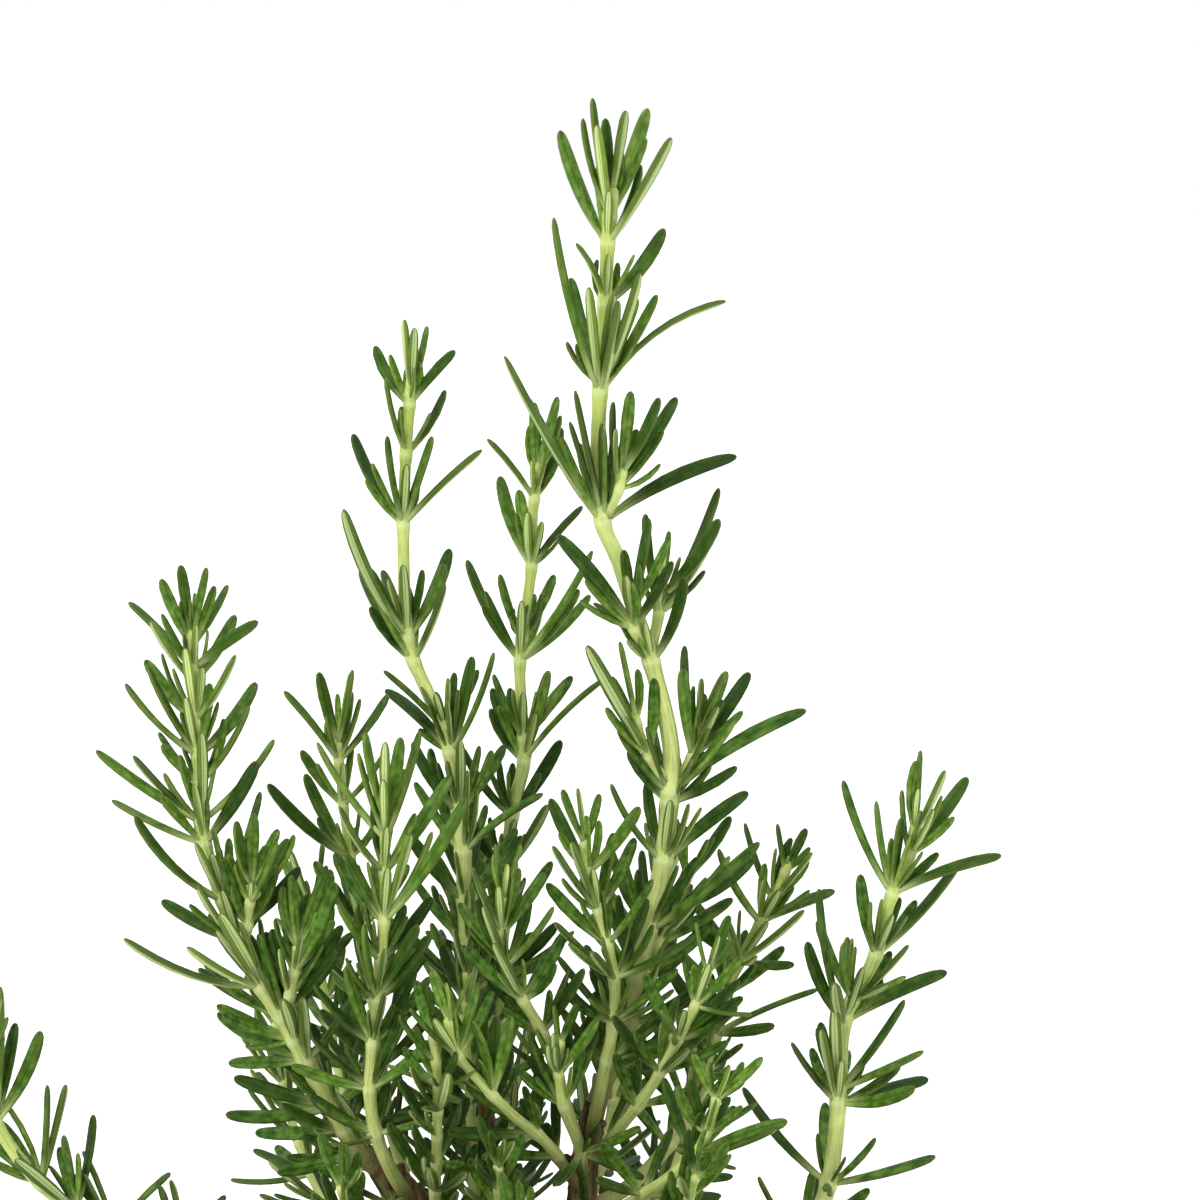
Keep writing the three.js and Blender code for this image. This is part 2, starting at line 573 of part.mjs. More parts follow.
// A three-sided leaf, pointed at both ends, flat above and keeled below, bent along its own line
function leafGeometry(leaf) {
  const rings = leaf.length < longLeaf ? shortRings : longRings;
  const geometry = new THREE.SphereGeometry(1, leafSides, rings.length - 1);
  const position = geometry.attributes.position;
  for (let i = 0; i < position.count; i++) {
    const fromTip = Math.acos(THREE.MathUtils.clamp(position.getY(i), -1, 1)) / Math.PI;
    const [share, size] = rings[Math.round((1 - fromTip) * (rings.length - 1))];
    const spread = Math.hypot(position.getX(i), position.getZ(i)) || 1;
    const [across, top] = bladeAxes(leaf.line.getTangent(share), leaf.upper);
    const point = leaf.line.getPoint(share);
    point.addScaledVector(across, -position.getZ(i) / spread * leaf.width / Math.sqrt(3) * size);
    point.addScaledVector(top, position.getX(i) / spread * leafDepth * 2 / 3 * size);
    position.setXYZ(i, point.x, point.y, point.z);
  }
  return geometry;
}

// Room already taken by stems and leaves, kept in cells so that near ones are found fast
const taken = new Map();
function cellOf(point) {
  return point.toArray().map((value) => Math.floor(value / cell));
}

function take(balls, owner) {
  for (const ball of balls) {
    const key = cellOf(ball.point).join();
    if (!taken.has(key)) {
      taken.set(key, []);
    }
    taken.get(key).push({ ...ball, owner });
  }
}

// A leaf keeps off the pot's rim and the soil
function meetsPot(point) {
  const reach = Math.hypot(point.x, point.y);
  const overRim = reach > rimRadius - wall - potClearance && reach < rimRadius + potClearance;
  if (overRim && point.z < potHeight + potClearance) {
    return true;
  }
  return reach < rimRadius && point.z < soilTop + soilRipple + potClearance;
}

function near(point) {
  const [cx, cy, cz] = cellOf(point);
  const found = [];
  for (let x = cx - 1; x <= cx + 1; x++) {
    for (let y = cy - 1; y <= cy + 1; y++) {
      for (let z = cz - 1; z <= cz + 1; z++) {
        found.push(...(taken.get([x, y, z].join()) ?? []));
      }
    }
  }
  return found;
}

function isClear(balls, owner) {
  return balls.every((ball) => !meetsPot(ball.point) && near(ball.point).every((other) => {
    const isOwn = other.owner === owner;
    if (isOwn && (ball.inner || other.inner)) {
      return true;
    }
    const room = ball.radius + other.radius + (isOwn ? ownClearance : clearance);
    return ball.point.distanceTo(other.point) >= room;
  }));
}

function leafBalls(line, length) {
  const count = Math.ceil(length / ballStep);
  const balls = [];
  for (let i = 1; i <= count; i++) {
    const share = i / count;
    const radius = share > tipShare ? tipBall : ballRadius;
    balls.push({ point: line.getPoint(share), radius, inner: share < rootShare });
  }
  return balls;
}

function leafLine(base, chord, stemAlong, bow) {
  const tip = base.clone().add(chord);
  const along = chord.clone().normalize();
  const outward = chord.clone().addScaledVector(stemAlong, -chord.dot(stemAlong)).normalize();
  outward.addScaledVector(along, -outward.dot(along)).normalize();
  const middle = base.clone().addScaledVector(chord, 0.5).addScaledVector(outward, 2 * bow);
  return new THREE.QuadraticBezierCurve3(base, middle, tip);
}

// A short leaf is slimmer than a long one.
function widthOf(length, full) {
  return full * (slimmest + (1 - slimmest) * Math.min(1, length / fullWidthFrom));
}

// A leaf that would meet another is turned about its stem or shortened, and else left out.
function placeLeaf(leaves, owner, frame, chord, bow, fullWidth) {
  for (const size of lengthTries) {
    for (const turn of turnTries) {
      const turned = chord.clone().multiplyScalar(size);
      turned.applyAxisAngle(frame.along, THREE.MathUtils.degToRad(turn));
      const outward = turned.clone().addScaledVector(frame.along, -turned.dot(frame.along)).normalize();
      const base = frame.point.clone().addScaledVector(outward, Math.max(0, frame.radius - rootSunk));
      const line = leafLine(base, turned, frame.along, bow * size);
      const length = turned.length();
      const balls = leafBalls(line, length);
      if (isClear(balls, owner)) {
        take(balls, owner);
        const upper = frame.along.clone().projectOnPlane(turned.normalize()).normalize();
        leaves.push({ line, length, width: widthOf(length, fullWidth), upper });
        return;
      }
    }
  }
}

function shareAtHeight(route, height) {
  let share = 0;
  while (share < lastNode && route.getPoint(share).z < height) {
    share += nodeStep;
  }
  return share;
}

// The two big leaves of a node that the plan gives by their tips
function rowLeaves(row, index) {
  const [, left, right] = row;
  const turn = index % 2 === 0 ? 1 : -1;
  return [left, right].map(([sideways, rise, bow], side) => {
    const length = Math.hypot(sideways, rise);
    const tilt = leafTilt * Math.min(1, Math.abs(sideways) / fullTiltSpread);
    const depth = (side === 0 ? -turn : turn) * tilt * length;
    return { chord: new THREE.Vector3(sideways, depth, rise - depth * Math.tan(viewTilt)), bow };
  });
}

function directionFrom(frame, angle, lean) {
  const outward = frame.across.clone().multiplyScalar(Math.cos(angle));
  outward.addScaledVector(frame.back, Math.sin(angle));
  return frame.along.clone().multiplyScalar(Math.cos(lean)).addScaledVector(outward, Math.sin(lean));
}

// The two leaves of a node made by rule: they stand across from each other,
// and each pair is turned against the pair below.
function ruleLeaves(fill, frame, index, share) {
  const turn = (index % 2 === 0 ? 45 : 135) + draw(-turnJitter, turnJitter);
  const length = fill.leaf * (fullAtFoot - shortensBy * share) * draw(...lengthJitter);
  return [0, 180].map((side) => {
    const angle = THREE.MathUtils.degToRad(turn + side + draw(-sideJitter, sideJitter));
    const spread = fillLean * (fullAtFoot - closesBy * share) + draw(-leanJitter, leanJitter);
    const lean = THREE.MathUtils.degToRad(spread);
    return { chord: directionFrom(frame, angle, lean).multiplyScalar(length), bow: draw(...fillBow) };
  });
}

// A tuft leaf stands closer to the stem than its node's big leaf, turned to one side of it.
function tuftLeaf(frame, big, length, side) {
  const outward = big.clone().addScaledVector(frame.along, -big.dot(frame.along)).normalize();
  outward.applyAxisAngle(frame.along, THREE.MathUtils.degToRad(side * draw(...tuftTurn)));
  const lean = THREE.MathUtils.degToRad(tuftSpread + draw(-leanJitter, leanJitter));
  const chord = outward.multiplyScalar(Math.sin(lean)).addScaledVector(frame.along, Math.cos(lean));
  return chord.multiplyScalar(length * draw(...tuftSize));
}

function fillRows(fill, route) {
  const count = Math.max(fewestRows, Math.round(route.getLength() * (1 - fill.from) / fill.gap));
  const rows = [];
  for (let i = 0; i <= count; i++) {
    rows.push(fill.from + (lastNode - fill.from) * i / count);
  }
  return rows;
}

// Every stem takes its room first, then the big leaves and last the tufts.
const stems = [];
for (const shoot of shoots) {
  for (const part of [shoot, ...shoot.sides]) {
    const points = part.fill ? part.route : part.route.map(trueAt);
    stems.push({ part, owner: shoot.name, seen: routeOf(part.route), route: routeOf(points), nodes: [] });
  }
}

for (const wood of woods) {
  wood.line = routeOf(wood.route);
}

function takeStem(route, girth, owner) {
  const count = Math.ceil(route.getLength() / ballStep);
  const balls = [];
  for (let i = 0; i <= count; i++) {
    const { point, radius } = frameAt(route, i / count, girth);
    balls.push({ point, radius, inner: true });
  }
  take(balls, owner);
}

for (const wood of woods) {
  takeStem(wood.line, wood.girth, wood.name);
}
for (const { part, owner, route } of stems) {
  takeStem(route, part.girth, owner);
}

const leavesOf = new Map(shoots.map((shoot) => [shoot.name, []]));
for (const stem of stems) {
  const leaves = leavesOf.get(stem.owner);
  stem.part.rows.forEach((row, index) => {
    const frame = frameAt(stem.route, shareAtHeight(stem.seen, row[0]), stem.part.girth);
    const bigs = rowLeaves(row, index);
    stem.nodes.push({ frame, bigs, tuft: row[3] });
    for (const { chord, bow } of bigs) {
      placeLeaf(leaves, stem.owner, frame, chord, bow, leafWidth);
    }
  });
}
for (const stem of stems.filter(({ part }) => part.fill)) {
  const leaves = leavesOf.get(stem.owner);
  fillRows(stem.part.fill, stem.route).forEach((share, index) => {
    const frame = frameAt(stem.route, share, stem.part.girth);
    const bigs = ruleLeaves(stem.part.fill, frame, index, share);
    stem.nodes.push({ frame, bigs, tuft: 0 });
    for (const { chord, bow } of bigs) {
      placeLeaf(leaves, stem.owner, frame, chord, bow, leafWidth);
    }
  });
}
for (const stem of stems) {
  const leaves = leavesOf.get(stem.owner);
  for (const { frame, bigs, tuft } of stem.nodes) {
    if (tuft > 0) {
      bigs.forEach(({ chord }, side) => {
        const small = tuftLeaf(frame, chord, Math.min(tuft, longestTuft), side === 0 ? 1 : -1);
        placeLeaf(leaves, stem.owner, frame, small, tuftBow, tuftWidth);
      });
    }
  }
}

// Pot: turned body with a rim band, and drain holes through its floor
function potSolid() {
  const bandFoot = potHeight - bandHeight;
  const profile = [
    [0, 0], [baseRadius - edgeRound, 0], [baseRadius, edgeRound],
    [rimRadius - bandStep - bandSlope, bandFoot], [rimRadius - bandSlope, bandFoot + edgeRound],
    [rimRadius, potHeight - edgeRound], [rimRadius - edgeRound, potHeight],
    [rimRadius - wall + edgeRound, potHeight], [rimRadius - wall, potHeight - edgeRound],
    [insideFoot, floorThickness + footRound], [insideFoot - footRound, floorThickness],
    [0, floorThickness],
  ];
  let pot = solidOf(lathe(profile, potSides));
  for (let i = 0; i < drainCount; i++) {
    const angle = (i / drainCount) * 2 * Math.PI;
    const drain = new THREE.CylinderGeometry(drainRadius, drainRadius, 3 * floorThickness, drainSides);
    drain.rotateX(Math.PI / 2).translate(Math.cos(angle) * drainCircle, Math.sin(angle) * drainCircle, 0);
    pot = pot.subtract(solidOf(drain));
  }
  return pot;
}

// Soil: fills the pot to just below its rim, with a low uneven top
function soilSolid() {
  const foot = floorThickness + footRound;
  const slope = (rimRadius - wall - insideFoot) / (potHeight - edgeRound - foot);
  const topRadius = insideFoot + (soilTop - foot) * slope - gap;
  const profile = [
    [0, floorThickness + gap], [insideFoot - footRound - gap, floorThickness + gap],
    [insideFoot - gap, foot], [topRadius, soilTop],
    ...soilRings.map((share) => [topRadius * share, soilTop]), [0, soilTop],
  ];
  const geometry = lathe(profile, soilSides);
  const position = geometry.attributes.position;
  for (let i = 0; i < position.count; i++) {
    const [x, y, z] = [position.getX(i), position.getY(i), position.getZ(i)];
    if (z > soilTop - 1 && Math.hypot(x, y) < topRadius - 1) {
      const broad = Math.sin(x / 6.2 + 1) * Math.cos(y / 5.3);
      const small = Math.sin(x / 2.7 - y / 3.4);
      position.setZ(i, z + soilRipple * (broad + 0.5 * small));
    }
  }
  return solidOf(geometry);
}

const plant = new THREE.Group();
plant.add(meshOf(potSolid(), 'pot', clay));

// The soil has a plain hole for each stem that is rooted in it.
const woodRoom = woods.map((wood) => solidOf(stemGeometry(wood.line, wood.girth, woodSides, gap)));
const whips = stems.filter(({ owner }) => rootedShoots.includes(owner));
const whipRoom = whips.map(({ route, part }) => solidOf(stemGeometry(route, part.girth, stemSides, gap)));
let soil = soilSolid();
for (const room of [...woodRoom, ...whipRoom]) {
  soil = soil.subtract(room);
}
plant.add(meshOf(largest(soil), 'soil', earth));

for (const wood of woods) {
  plant.add(meshOf(solidOf(stemGeometry(wood.line, wood.girth, woodSides, 0)), wood.name, bark));
}

for (const shoot of shoots) {
  const own = stems.filter(({ owner }) => owner === shoot.name);
  const pieces = own.map(({ route, part }) => solidOf(stemGeometry(route, part.girth, stemSides, 0)));
  pieces.push(...leavesOf.get(shoot.name).map((leaf) => solidOf(leafGeometry(leaf))));
  let body = wasm.Manifold.union(pieces);
  for (const room of woodRoom) {
    body = body.subtract(room);
  }
  plant.add(meshOf(largest(body), shoot.name, foliage));
}

export default plant;
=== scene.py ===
# A rosemary plant in a plain clay pot. The frame is in metres with the pot's foot at the origin.
# Sizes and places are given in millimetres, and each mesh is made metric as it is finished.
import itertools
import math

import bmesh
import bpy
from mathutils import Matrix, Quaternion, Vector, noise


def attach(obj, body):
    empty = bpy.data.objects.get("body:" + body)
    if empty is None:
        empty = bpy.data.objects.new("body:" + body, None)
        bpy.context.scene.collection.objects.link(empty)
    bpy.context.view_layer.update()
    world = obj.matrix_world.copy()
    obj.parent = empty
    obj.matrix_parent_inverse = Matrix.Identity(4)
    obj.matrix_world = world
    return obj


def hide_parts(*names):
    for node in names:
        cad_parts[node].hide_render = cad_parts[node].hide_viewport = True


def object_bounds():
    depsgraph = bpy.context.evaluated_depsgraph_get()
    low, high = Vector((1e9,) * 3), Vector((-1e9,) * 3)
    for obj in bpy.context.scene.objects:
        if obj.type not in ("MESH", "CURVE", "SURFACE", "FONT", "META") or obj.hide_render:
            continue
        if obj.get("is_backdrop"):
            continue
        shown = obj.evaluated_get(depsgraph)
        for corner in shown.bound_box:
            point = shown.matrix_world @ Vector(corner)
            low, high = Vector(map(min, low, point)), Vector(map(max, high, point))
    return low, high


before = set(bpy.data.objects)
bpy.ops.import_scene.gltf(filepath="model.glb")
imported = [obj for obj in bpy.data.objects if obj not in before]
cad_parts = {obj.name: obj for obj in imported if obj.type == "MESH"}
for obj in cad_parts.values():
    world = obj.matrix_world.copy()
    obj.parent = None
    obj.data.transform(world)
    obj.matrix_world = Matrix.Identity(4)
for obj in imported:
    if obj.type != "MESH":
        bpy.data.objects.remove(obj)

cad_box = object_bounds()


# The pot is thrown red clay, fired without a glaze. It stands on its flat foot, with a plain rim
# band and three drain holes round the middle of its floor. Salts have bloomed pale on the outside.
MM = 0.001
POT_TOP, POT_RIM, POT_WALL, POT_FOOT, POT_CHAMFER = 125, 70, 6.5, 47, 1.5
POT_FLOOR, FLOOR_RADIUS, FLOOR_CURVE = 9, 38, 4
BAND_FROM, BAND_FOOT, BAND_EDGE = 98, 64.7, 68.2
POT_PROFILE = [
    (0, 0), (POT_FOOT - POT_CHAMFER, 0), (POT_FOOT, POT_CHAMFER),
    (BAND_FOOT, BAND_FROM), (BAND_EDGE, BAND_FROM + POT_CHAMFER),
    (POT_RIM, POT_TOP - POT_CHAMFER), (POT_RIM - POT_CHAMFER, POT_TOP),
    (POT_RIM - POT_WALL + POT_CHAMFER, POT_TOP), (POT_RIM - POT_WALL, POT_TOP - POT_CHAMFER),
    (FLOOR_RADIUS + FLOOR_CURVE, POT_FLOOR + FLOOR_CURVE), (FLOOR_RADIUS, POT_FLOOR), (0, POT_FLOOR),
]
POT_SIDES, MERGED_WITHIN = 144, 0.001
POT_BEVEL, BEVELLED_FROM, SHARP_FROM = 0.8, math.radians(20), math.radians(40)
DRAIN_RADIUS, DRAIN_CIRCLE, DRAIN_COUNT, DRAIN_SIDES, DRILL_LENGTH = 4.5, 24, 3, 32, 40
# The heights in metres between which the pale bloom fades, grows and ends.
FOOT_BLOOM, BLOOM_BELOW_BAND, BLOOM_ENDS = (0.004, 0.05), (0.07, 0.097), (0.099, 0.104)


def shade(red, green, blue):
    """A colour as a shader reads it, from the values that a screen shows."""
    return [(value / 255) ** 2.2 for value in (red, green, blue)] + [1]


class Signal:
    """A node's output. An operator on it adds a Math node, so that 1 - mask works."""

    def __init__(self, paint, socket):
        self.paint = paint
        self.socket = socket

    def __add__(self, other):
        return self.paint.math("ADD", self, other)

    def __sub__(self, other):
        return self.paint.math("SUBTRACT", self, other)

    def __rsub__(self, other):
        return self.paint.math("SUBTRACT", other, self)

    def __mul__(self, other):
        return self.paint.math("MULTIPLY", self, other)

    def __abs__(self):
        return self.paint.math("ABSOLUTE", self)

    __radd__ = __add__
    __rmul__ = __mul__


class Paint:
    """A material: its gloss is set on the shader's own socket, and the rest is made of nodes."""

    def __init__(self, name, gloss):
        self.material = bpy.data.materials.new(name)
        self.material.use_nodes = True
        self.tree = self.material.node_tree
        self.shader = self.tree.nodes["Principled BSDF"]
        self.shader.inputs["Specular IOR Level"].default_value = gloss

    def node(self, kind, settings, inputs, output=0):
        """Adds a node, with its settings first and then its inputs, and returns one output."""
        node = self.tree.nodes.new(kind)
        for name, value in settings.items():
            setattr(node, name, value)
        for key, value in inputs.items():
            if isinstance(value, Signal):
                self.tree.links.new(value.socket, node.inputs[key])
            else:
                node.inputs[key].default_value = value
        return Signal(self, node.outputs[output])

    def math(self, operation, *values):
        return self.node("ShaderNodeMath", {"operation": operation}, dict(enumerate(values)))

    def place(self, stretch=(1, 1, 1)):
        """The place on the object, with each direction scaled so that a pattern is drawn out."""
        place = self.node("ShaderNodeTexCoord", {}, {}, "Object")
        return self.node("ShaderNodeMapping", {}, {"Vector": place, "Scale": stretch})

    def measure(self, place, axis):
        return self.node("ShaderNodeSeparateXYZ", {}, {0: place}, axis)

    def noise(self, place, scale, detail=3.0):
        inputs = {"Vector": place, "Scale": scale, "Detail": detail}
        return self.node("ShaderNodeTexNoise", {}, inputs, "Fac")

    def rise(self, value, low, high):
        """0 where the value is below low, 1 where it is above high, and smooth between."""
        settings = {"interpolation_type": "SMOOTHSTEP"}
        return self.node("ShaderNodeMapRange", settings, {0: value, 1: low, 2: high})

    def mix(self, share, one, other):
        return self.node("ShaderNodeMix", {"data_type": "RGBA"}, {0: share, 6: one, 7: other}, 2)

    def attribute(self, name):
        return self.node("ShaderNodeAttribute", {"attribute_name": name}, {}, "Fac")

    def finish(self, colour, roughness, height, depth):
        """Feeds the shader; depth is how far in metres the height stands out."""
        normal = self.node("ShaderNodeBump", {}, {"Height": height, "Distance": depth})
        for name, signal in (("Base Color", colour), ("Roughness", roughness), ("Normal", normal)):
            self.tree.links.new(signal.socket, self.shader.inputs[name])
        return self.material


def fired_clay():
    clay = Paint("fired_clay", 0.25)
    height = clay.measure(clay.place(), "Z")
    broad = clay.noise(clay.place(), 28)
    grain = clay.noise(clay.place(), 1300, 2)
    turning = clay.noise(clay.place((3, 3, 420)), 1, 4)
    colour = clay.mix(clay.rise(broad, 0.35, 0.68), shade(176, 98, 66), shade(199, 121, 84))
    colour = clay.mix(clay.rise(turning, 0.45, 0.75) * 0.35, colour, shade(160, 86, 58))
    salts = clay.rise(clay.noise(clay.place((1, 1, 1.6)), 55, 6), 0.5, 0.72)
    near_foot = 1 - clay.rise(height, *FOOT_BLOOM)
    below_band = clay.rise(height, *BLOOM_BELOW_BAND) * (1 - clay.rise(height, *BLOOM_ENDS))
    bloom = salts * (near_foot * 0.75 + below_band * 0.45 + 0.12)
    colour = clay.mix(bloom, colour, shade(226, 207, 190))
    flecks = clay.rise(clay.noise(clay.place(), 620, 1), 0.68, 0.74) * 0.4
    colour = clay.mix(flecks, colour, shade(120, 62, 44))
    return clay.finish(colour, 0.78 + bloom * 0.15, turning * 0.7 + grain * 0.3, 0.0006)


def mesh_of(name, bm, unit=MM):
    """Makes a mesh in metres of what was drawn in millimetres, or in another unit."""
    bmesh.ops.transform(bm, matrix=Matrix.Scale(unit, 4), verts=bm.verts)
    mesh = bpy.data.meshes.new(name)
    bm.to_mesh(mesh)
    bm.free()
    return mesh


def put_in_scene(name, content):
    thing = bpy.data.objects.new(name, content)
    bpy.context.scene.collection.objects.link(thing)
    return thing


def add_piece(name, bm, finishes, node):
    """Makes a piece of the object. It stands for the CAD node and moves with it."""
    mesh = mesh_of(name, bm)
    mesh.shade_smooth()
    for finish in finishes:
        mesh.materials.append(finish)
    piece = put_in_scene(name, mesh)
    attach(piece, "root")
    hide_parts(node)
    return piece


def spun(bm, profile, sides):
    """Turns a profile of radius and height about the upright axis."""
    line = [bm.verts.new((radius, 0, height)) for radius, height in profile]
    edges = [bm.edges.new(pair) for pair in zip(line, line[1:])]
    bmesh.ops.spin(
        bm, geom=line + edges, axis=(0, 0, 1), cent=(0, 0, 0), angle=2 * math.pi,
        steps=sides, use_merge=True,
    )
    bmesh.ops.remove_doubles(bm, verts=bm.verts, dist=MERGED_WITHIN)
    bmesh.ops.recalc_face_normals(bm, faces=bm.faces)


bm = bmesh.new()
spun(bm, POT_PROFILE, POT_SIDES)
corners = [edge for edge in bm.edges if edge.is_manifold and edge.calc_face_angle() > BEVELLED_FROM]
bmesh.ops.bevel(
    bm, geom=corners, offset=POT_BEVEL, segments=3, profile=0.5, affect="EDGES", material=-1,
)
pot = add_piece("clay_pot", bm, [fired_clay()], "pot")

bm = bmesh.new()
for i in range(DRAIN_COUNT):
    angle = 2 * math.pi * i / DRAIN_COUNT
    place = Vector((math.cos(angle), math.sin(angle), 0)) * DRAIN_CIRCLE
    bmesh.ops.create_cone(
        bm, cap_ends=True, segments=DRAIN_SIDES, radius1=DRAIN_RADIUS, radius2=DRAIN_RADIUS,
        depth=DRILL_LENGTH, matrix=Matrix.Translation(place),
    )
drill = put_in_scene("drill", mesh_of("drill", bm))
drilling = pot.modifiers.new("drain_holes", "BOOLEAN")
drilling.operation = "DIFFERENCE"
drilling.solver = "EXACT"
drilling.object = drill
bpy.context.view_layer.update()
drilled = bpy.data.meshes.new_from_object(pot.evaluated_get(bpy.context.evaluated_depsgraph_get()))
pot.modifiers.clear()
pot.data = drilled
drilled.set_sharp_from_angle(angle=SHARP_FROM)
bpy.data.objects.remove(drill)


# The soil is dark, peaty potting mix that fills the pot to just below its rim, pressed down
# unevenly by hand. Loose crumbs and a few pale grains lie on it, sunk into its surface.
SOIL_TOP, SOIL_RIPPLE, SOIL_RADIUS, SOIL_GAP = 112, 1.3, 61, 0.35
SOIL_RINGS, SOIL_SIDES, LEVEL_EDGE = 30, 110, 1
WAVE_HEIGHT, WAVE_LENGTHS = 1.1, (6.2, 5.3, 2.7, 3.4)
LUMP_HEIGHT, LUMP_SCALE, LUMP_LAYERS = 0.9, 0.28, (0.9, 2.2, 4)
CRUMBS, GRAINS, CRUMB_REACH = 420, 46, 58
CRUMB_SIZE, GRAIN_SIZE, CRUMB_RISE = (0.5, 1.7), (0.6, 1.3), 0.25
CRUMB_DEPTH, CRUMB_HEIGHT = (0.6, 1), (0.5, 0.8)


def seeded(seed):
    """Draws between two limits, the same on every run."""
    state = [seed]

    def draw(low, high):
        state[0] = (state[0] * 1664525 + 1013904223) % 4294967296
        return low + (high - low) * state[0] / 4294967296

    return draw


def soil_height(x, y):
    """The soil's surface: waves of two sizes, with lumps on them."""
    wide, deep, short, shallow = WAVE_LENGTHS
    waves = math.sin(x / wide + 1) * math.cos(y / deep) + 0.5 * math.sin(x / short - y / shallow)
    lumps = noise.fractal(Vector((x, y, 3)) * LUMP_SCALE, *LUMP_LAYERS)
    return SOIL_TOP + WAVE_HEIGHT * waves + LUMP_HEIGHT * lumps


def potting_mix():
    mix = Paint("potting_mix", 0.2)
    broad = mix.noise(mix.place(), 90, 5)
    fine = mix.noise(mix.place(), 900, 4)
    fibres = mix.rise(mix.noise(mix.place((1, 0.2, 1)), 1400, 1), 0.66, 0.72)
    colour = mix.mix(mix.rise(broad, 0.35, 0.7), shade(44, 31, 22), shade(82, 60, 42))
    colour = mix.mix(mix.rise(fine, 0.55, 0.8) * 0.7, colour, shade(28, 20, 15))
    colour = mix.mix(fibres * 0.5, colour, shade(128, 96, 66))
    return mix.finish(colour, 0.9 + fine * 0.1, fine * 0.6 + broad, 0.0012)


def pale_grain():
    grain = Paint("pale_grain", 0.3)
    fine = grain.noise(grain.place(), 1600, 4)
    pits = grain.rise(fine, 0.55, 0.75)
    colour = grain.mix(pits, shade(214, 208, 194), shade(150, 138, 120))
    return grain.finish(colour, 0.8 + pits * 0.15, fine, 0.0006)


bm = bmesh.new()
soil_floor = POT_FLOOR + SOIL_GAP
soil_profile = [
    (0, soil_floor), (FLOOR_RADIUS - SOIL_GAP, soil_floor),
    (FLOOR_RADIUS + FLOOR_CURVE - SOIL_GAP, POT_FLOOR + FLOOR_CURVE),
]
soil_profile += [(SOIL_RADIUS * i / SOIL_RINGS, SOIL_TOP) for i in range(SOIL_RINGS, -1, -1)]
spun(bm, soil_profile, SOIL_SIDES)
for vertex in bm.verts:
    if vertex.co.z > SOIL_TOP - LEVEL_EDGE and vertex.co.xy.length < SOIL_RADIUS - LEVEL_EDGE:
        vertex.co.z = soil_height(vertex.co.x, vertex.co.y)
draw = seeded(11)
for i in range(CRUMBS + GRAINS):
    is_grain = i >= CRUMBS
    reach, turn = CRUMB_REACH * math.sqrt(draw(0, 1)), draw(0, 2 * math.pi)
    size = draw(*(GRAIN_SIZE if is_grain else CRUMB_SIZE))
    x, y = reach * math.cos(turn), reach * math.sin(turn)
    place = Matrix.Translation((x, y, soil_height(x, y) + CRUMB_RISE * size))
    turned = Quaternion((draw(-1, 1), draw(-1, 1), 1), draw(0, 6)).to_matrix().to_4x4()
    flat = Matrix.Diagonal((1, draw(*CRUMB_DEPTH), draw(*CRUMB_HEIGHT), 1))
    crumb = bmesh.ops.create_icosphere(bm, subdivisions=1, radius=size, matrix=place @ turned @ flat)
    for face in {face for vertex in crumb["verts"] for face in vertex.link_faces}:
        face.material_index = int(is_grain)
add_piece("potting_soil", bm, [potting_mix(), pale_grain()], "soil")


# Three old stems stand rooted in the soil. Their bark is grey brown and peels in thin strips,
# with the low rings that fallen leaves have left, and short stubs of broken twigs.
WOODS = [
    ("left", (7, 4.2), [
        (-19, 2, 72), (-18.5, 2, 100), (-17.5, 1, 122), (-16.5, 0, 134), (-17.5, -2, 143),
        (-21.5, -4, 149.5), (-26.5, -5.2, 154),
    ]),
    ("centre", (7.5, 3.4), [
        (-4, 8, 70), (-4, 8, 100), (-5, 8, 130), (-7, 9, 150), (-7.5, 9.5, 166), (-8.3, 10, 178),
    ]),
    ("right", (7.5, 4), [
        (9, 3, 70), (9, 2, 104), (10, 1, 130), (11, 0, 146), (12.3, 0, 158), (13.6, 0, 164),
    ]),
]
BACK = Vector((0, 1, 0))
LENGTH_STEPS = 200
BARK_SIDES, BARK_STEP = 18, 1.6
SCAR_HEIGHT, SCAR_SPACING, SCAR_WIDTH = 0.28, 9, 0.8
STRIP_HEIGHT, STRIP_SCALE, STRIP_DRAWN_OUT = 0.35, 0.9, 0.12
KNOB_HEIGHT, KNOB_SCALE = 0.4, 0.35
STUB_COUNT, STUBS_FROM, STUBS_TO, STUB_JITTER = 7, 0.45, 0.97, 0.03
STUB_LENGTH, STUB_RISE, STUB_SIDES = (0.8, 3), (0.3, 1.2), 8
STUB_SHAPE = [(0, 0.9), (0.5, 0.85), (0.92, 0.7), (1, 0.4)]


def frame_of(point, across, up, along, wide, high):
    """Carries a flat section to a place: its X goes across, its Y up and its Z along."""
    carried = Matrix((across * wide, up * high, along)).transposed().to_4x4()
    carried.translation = point
    return carried


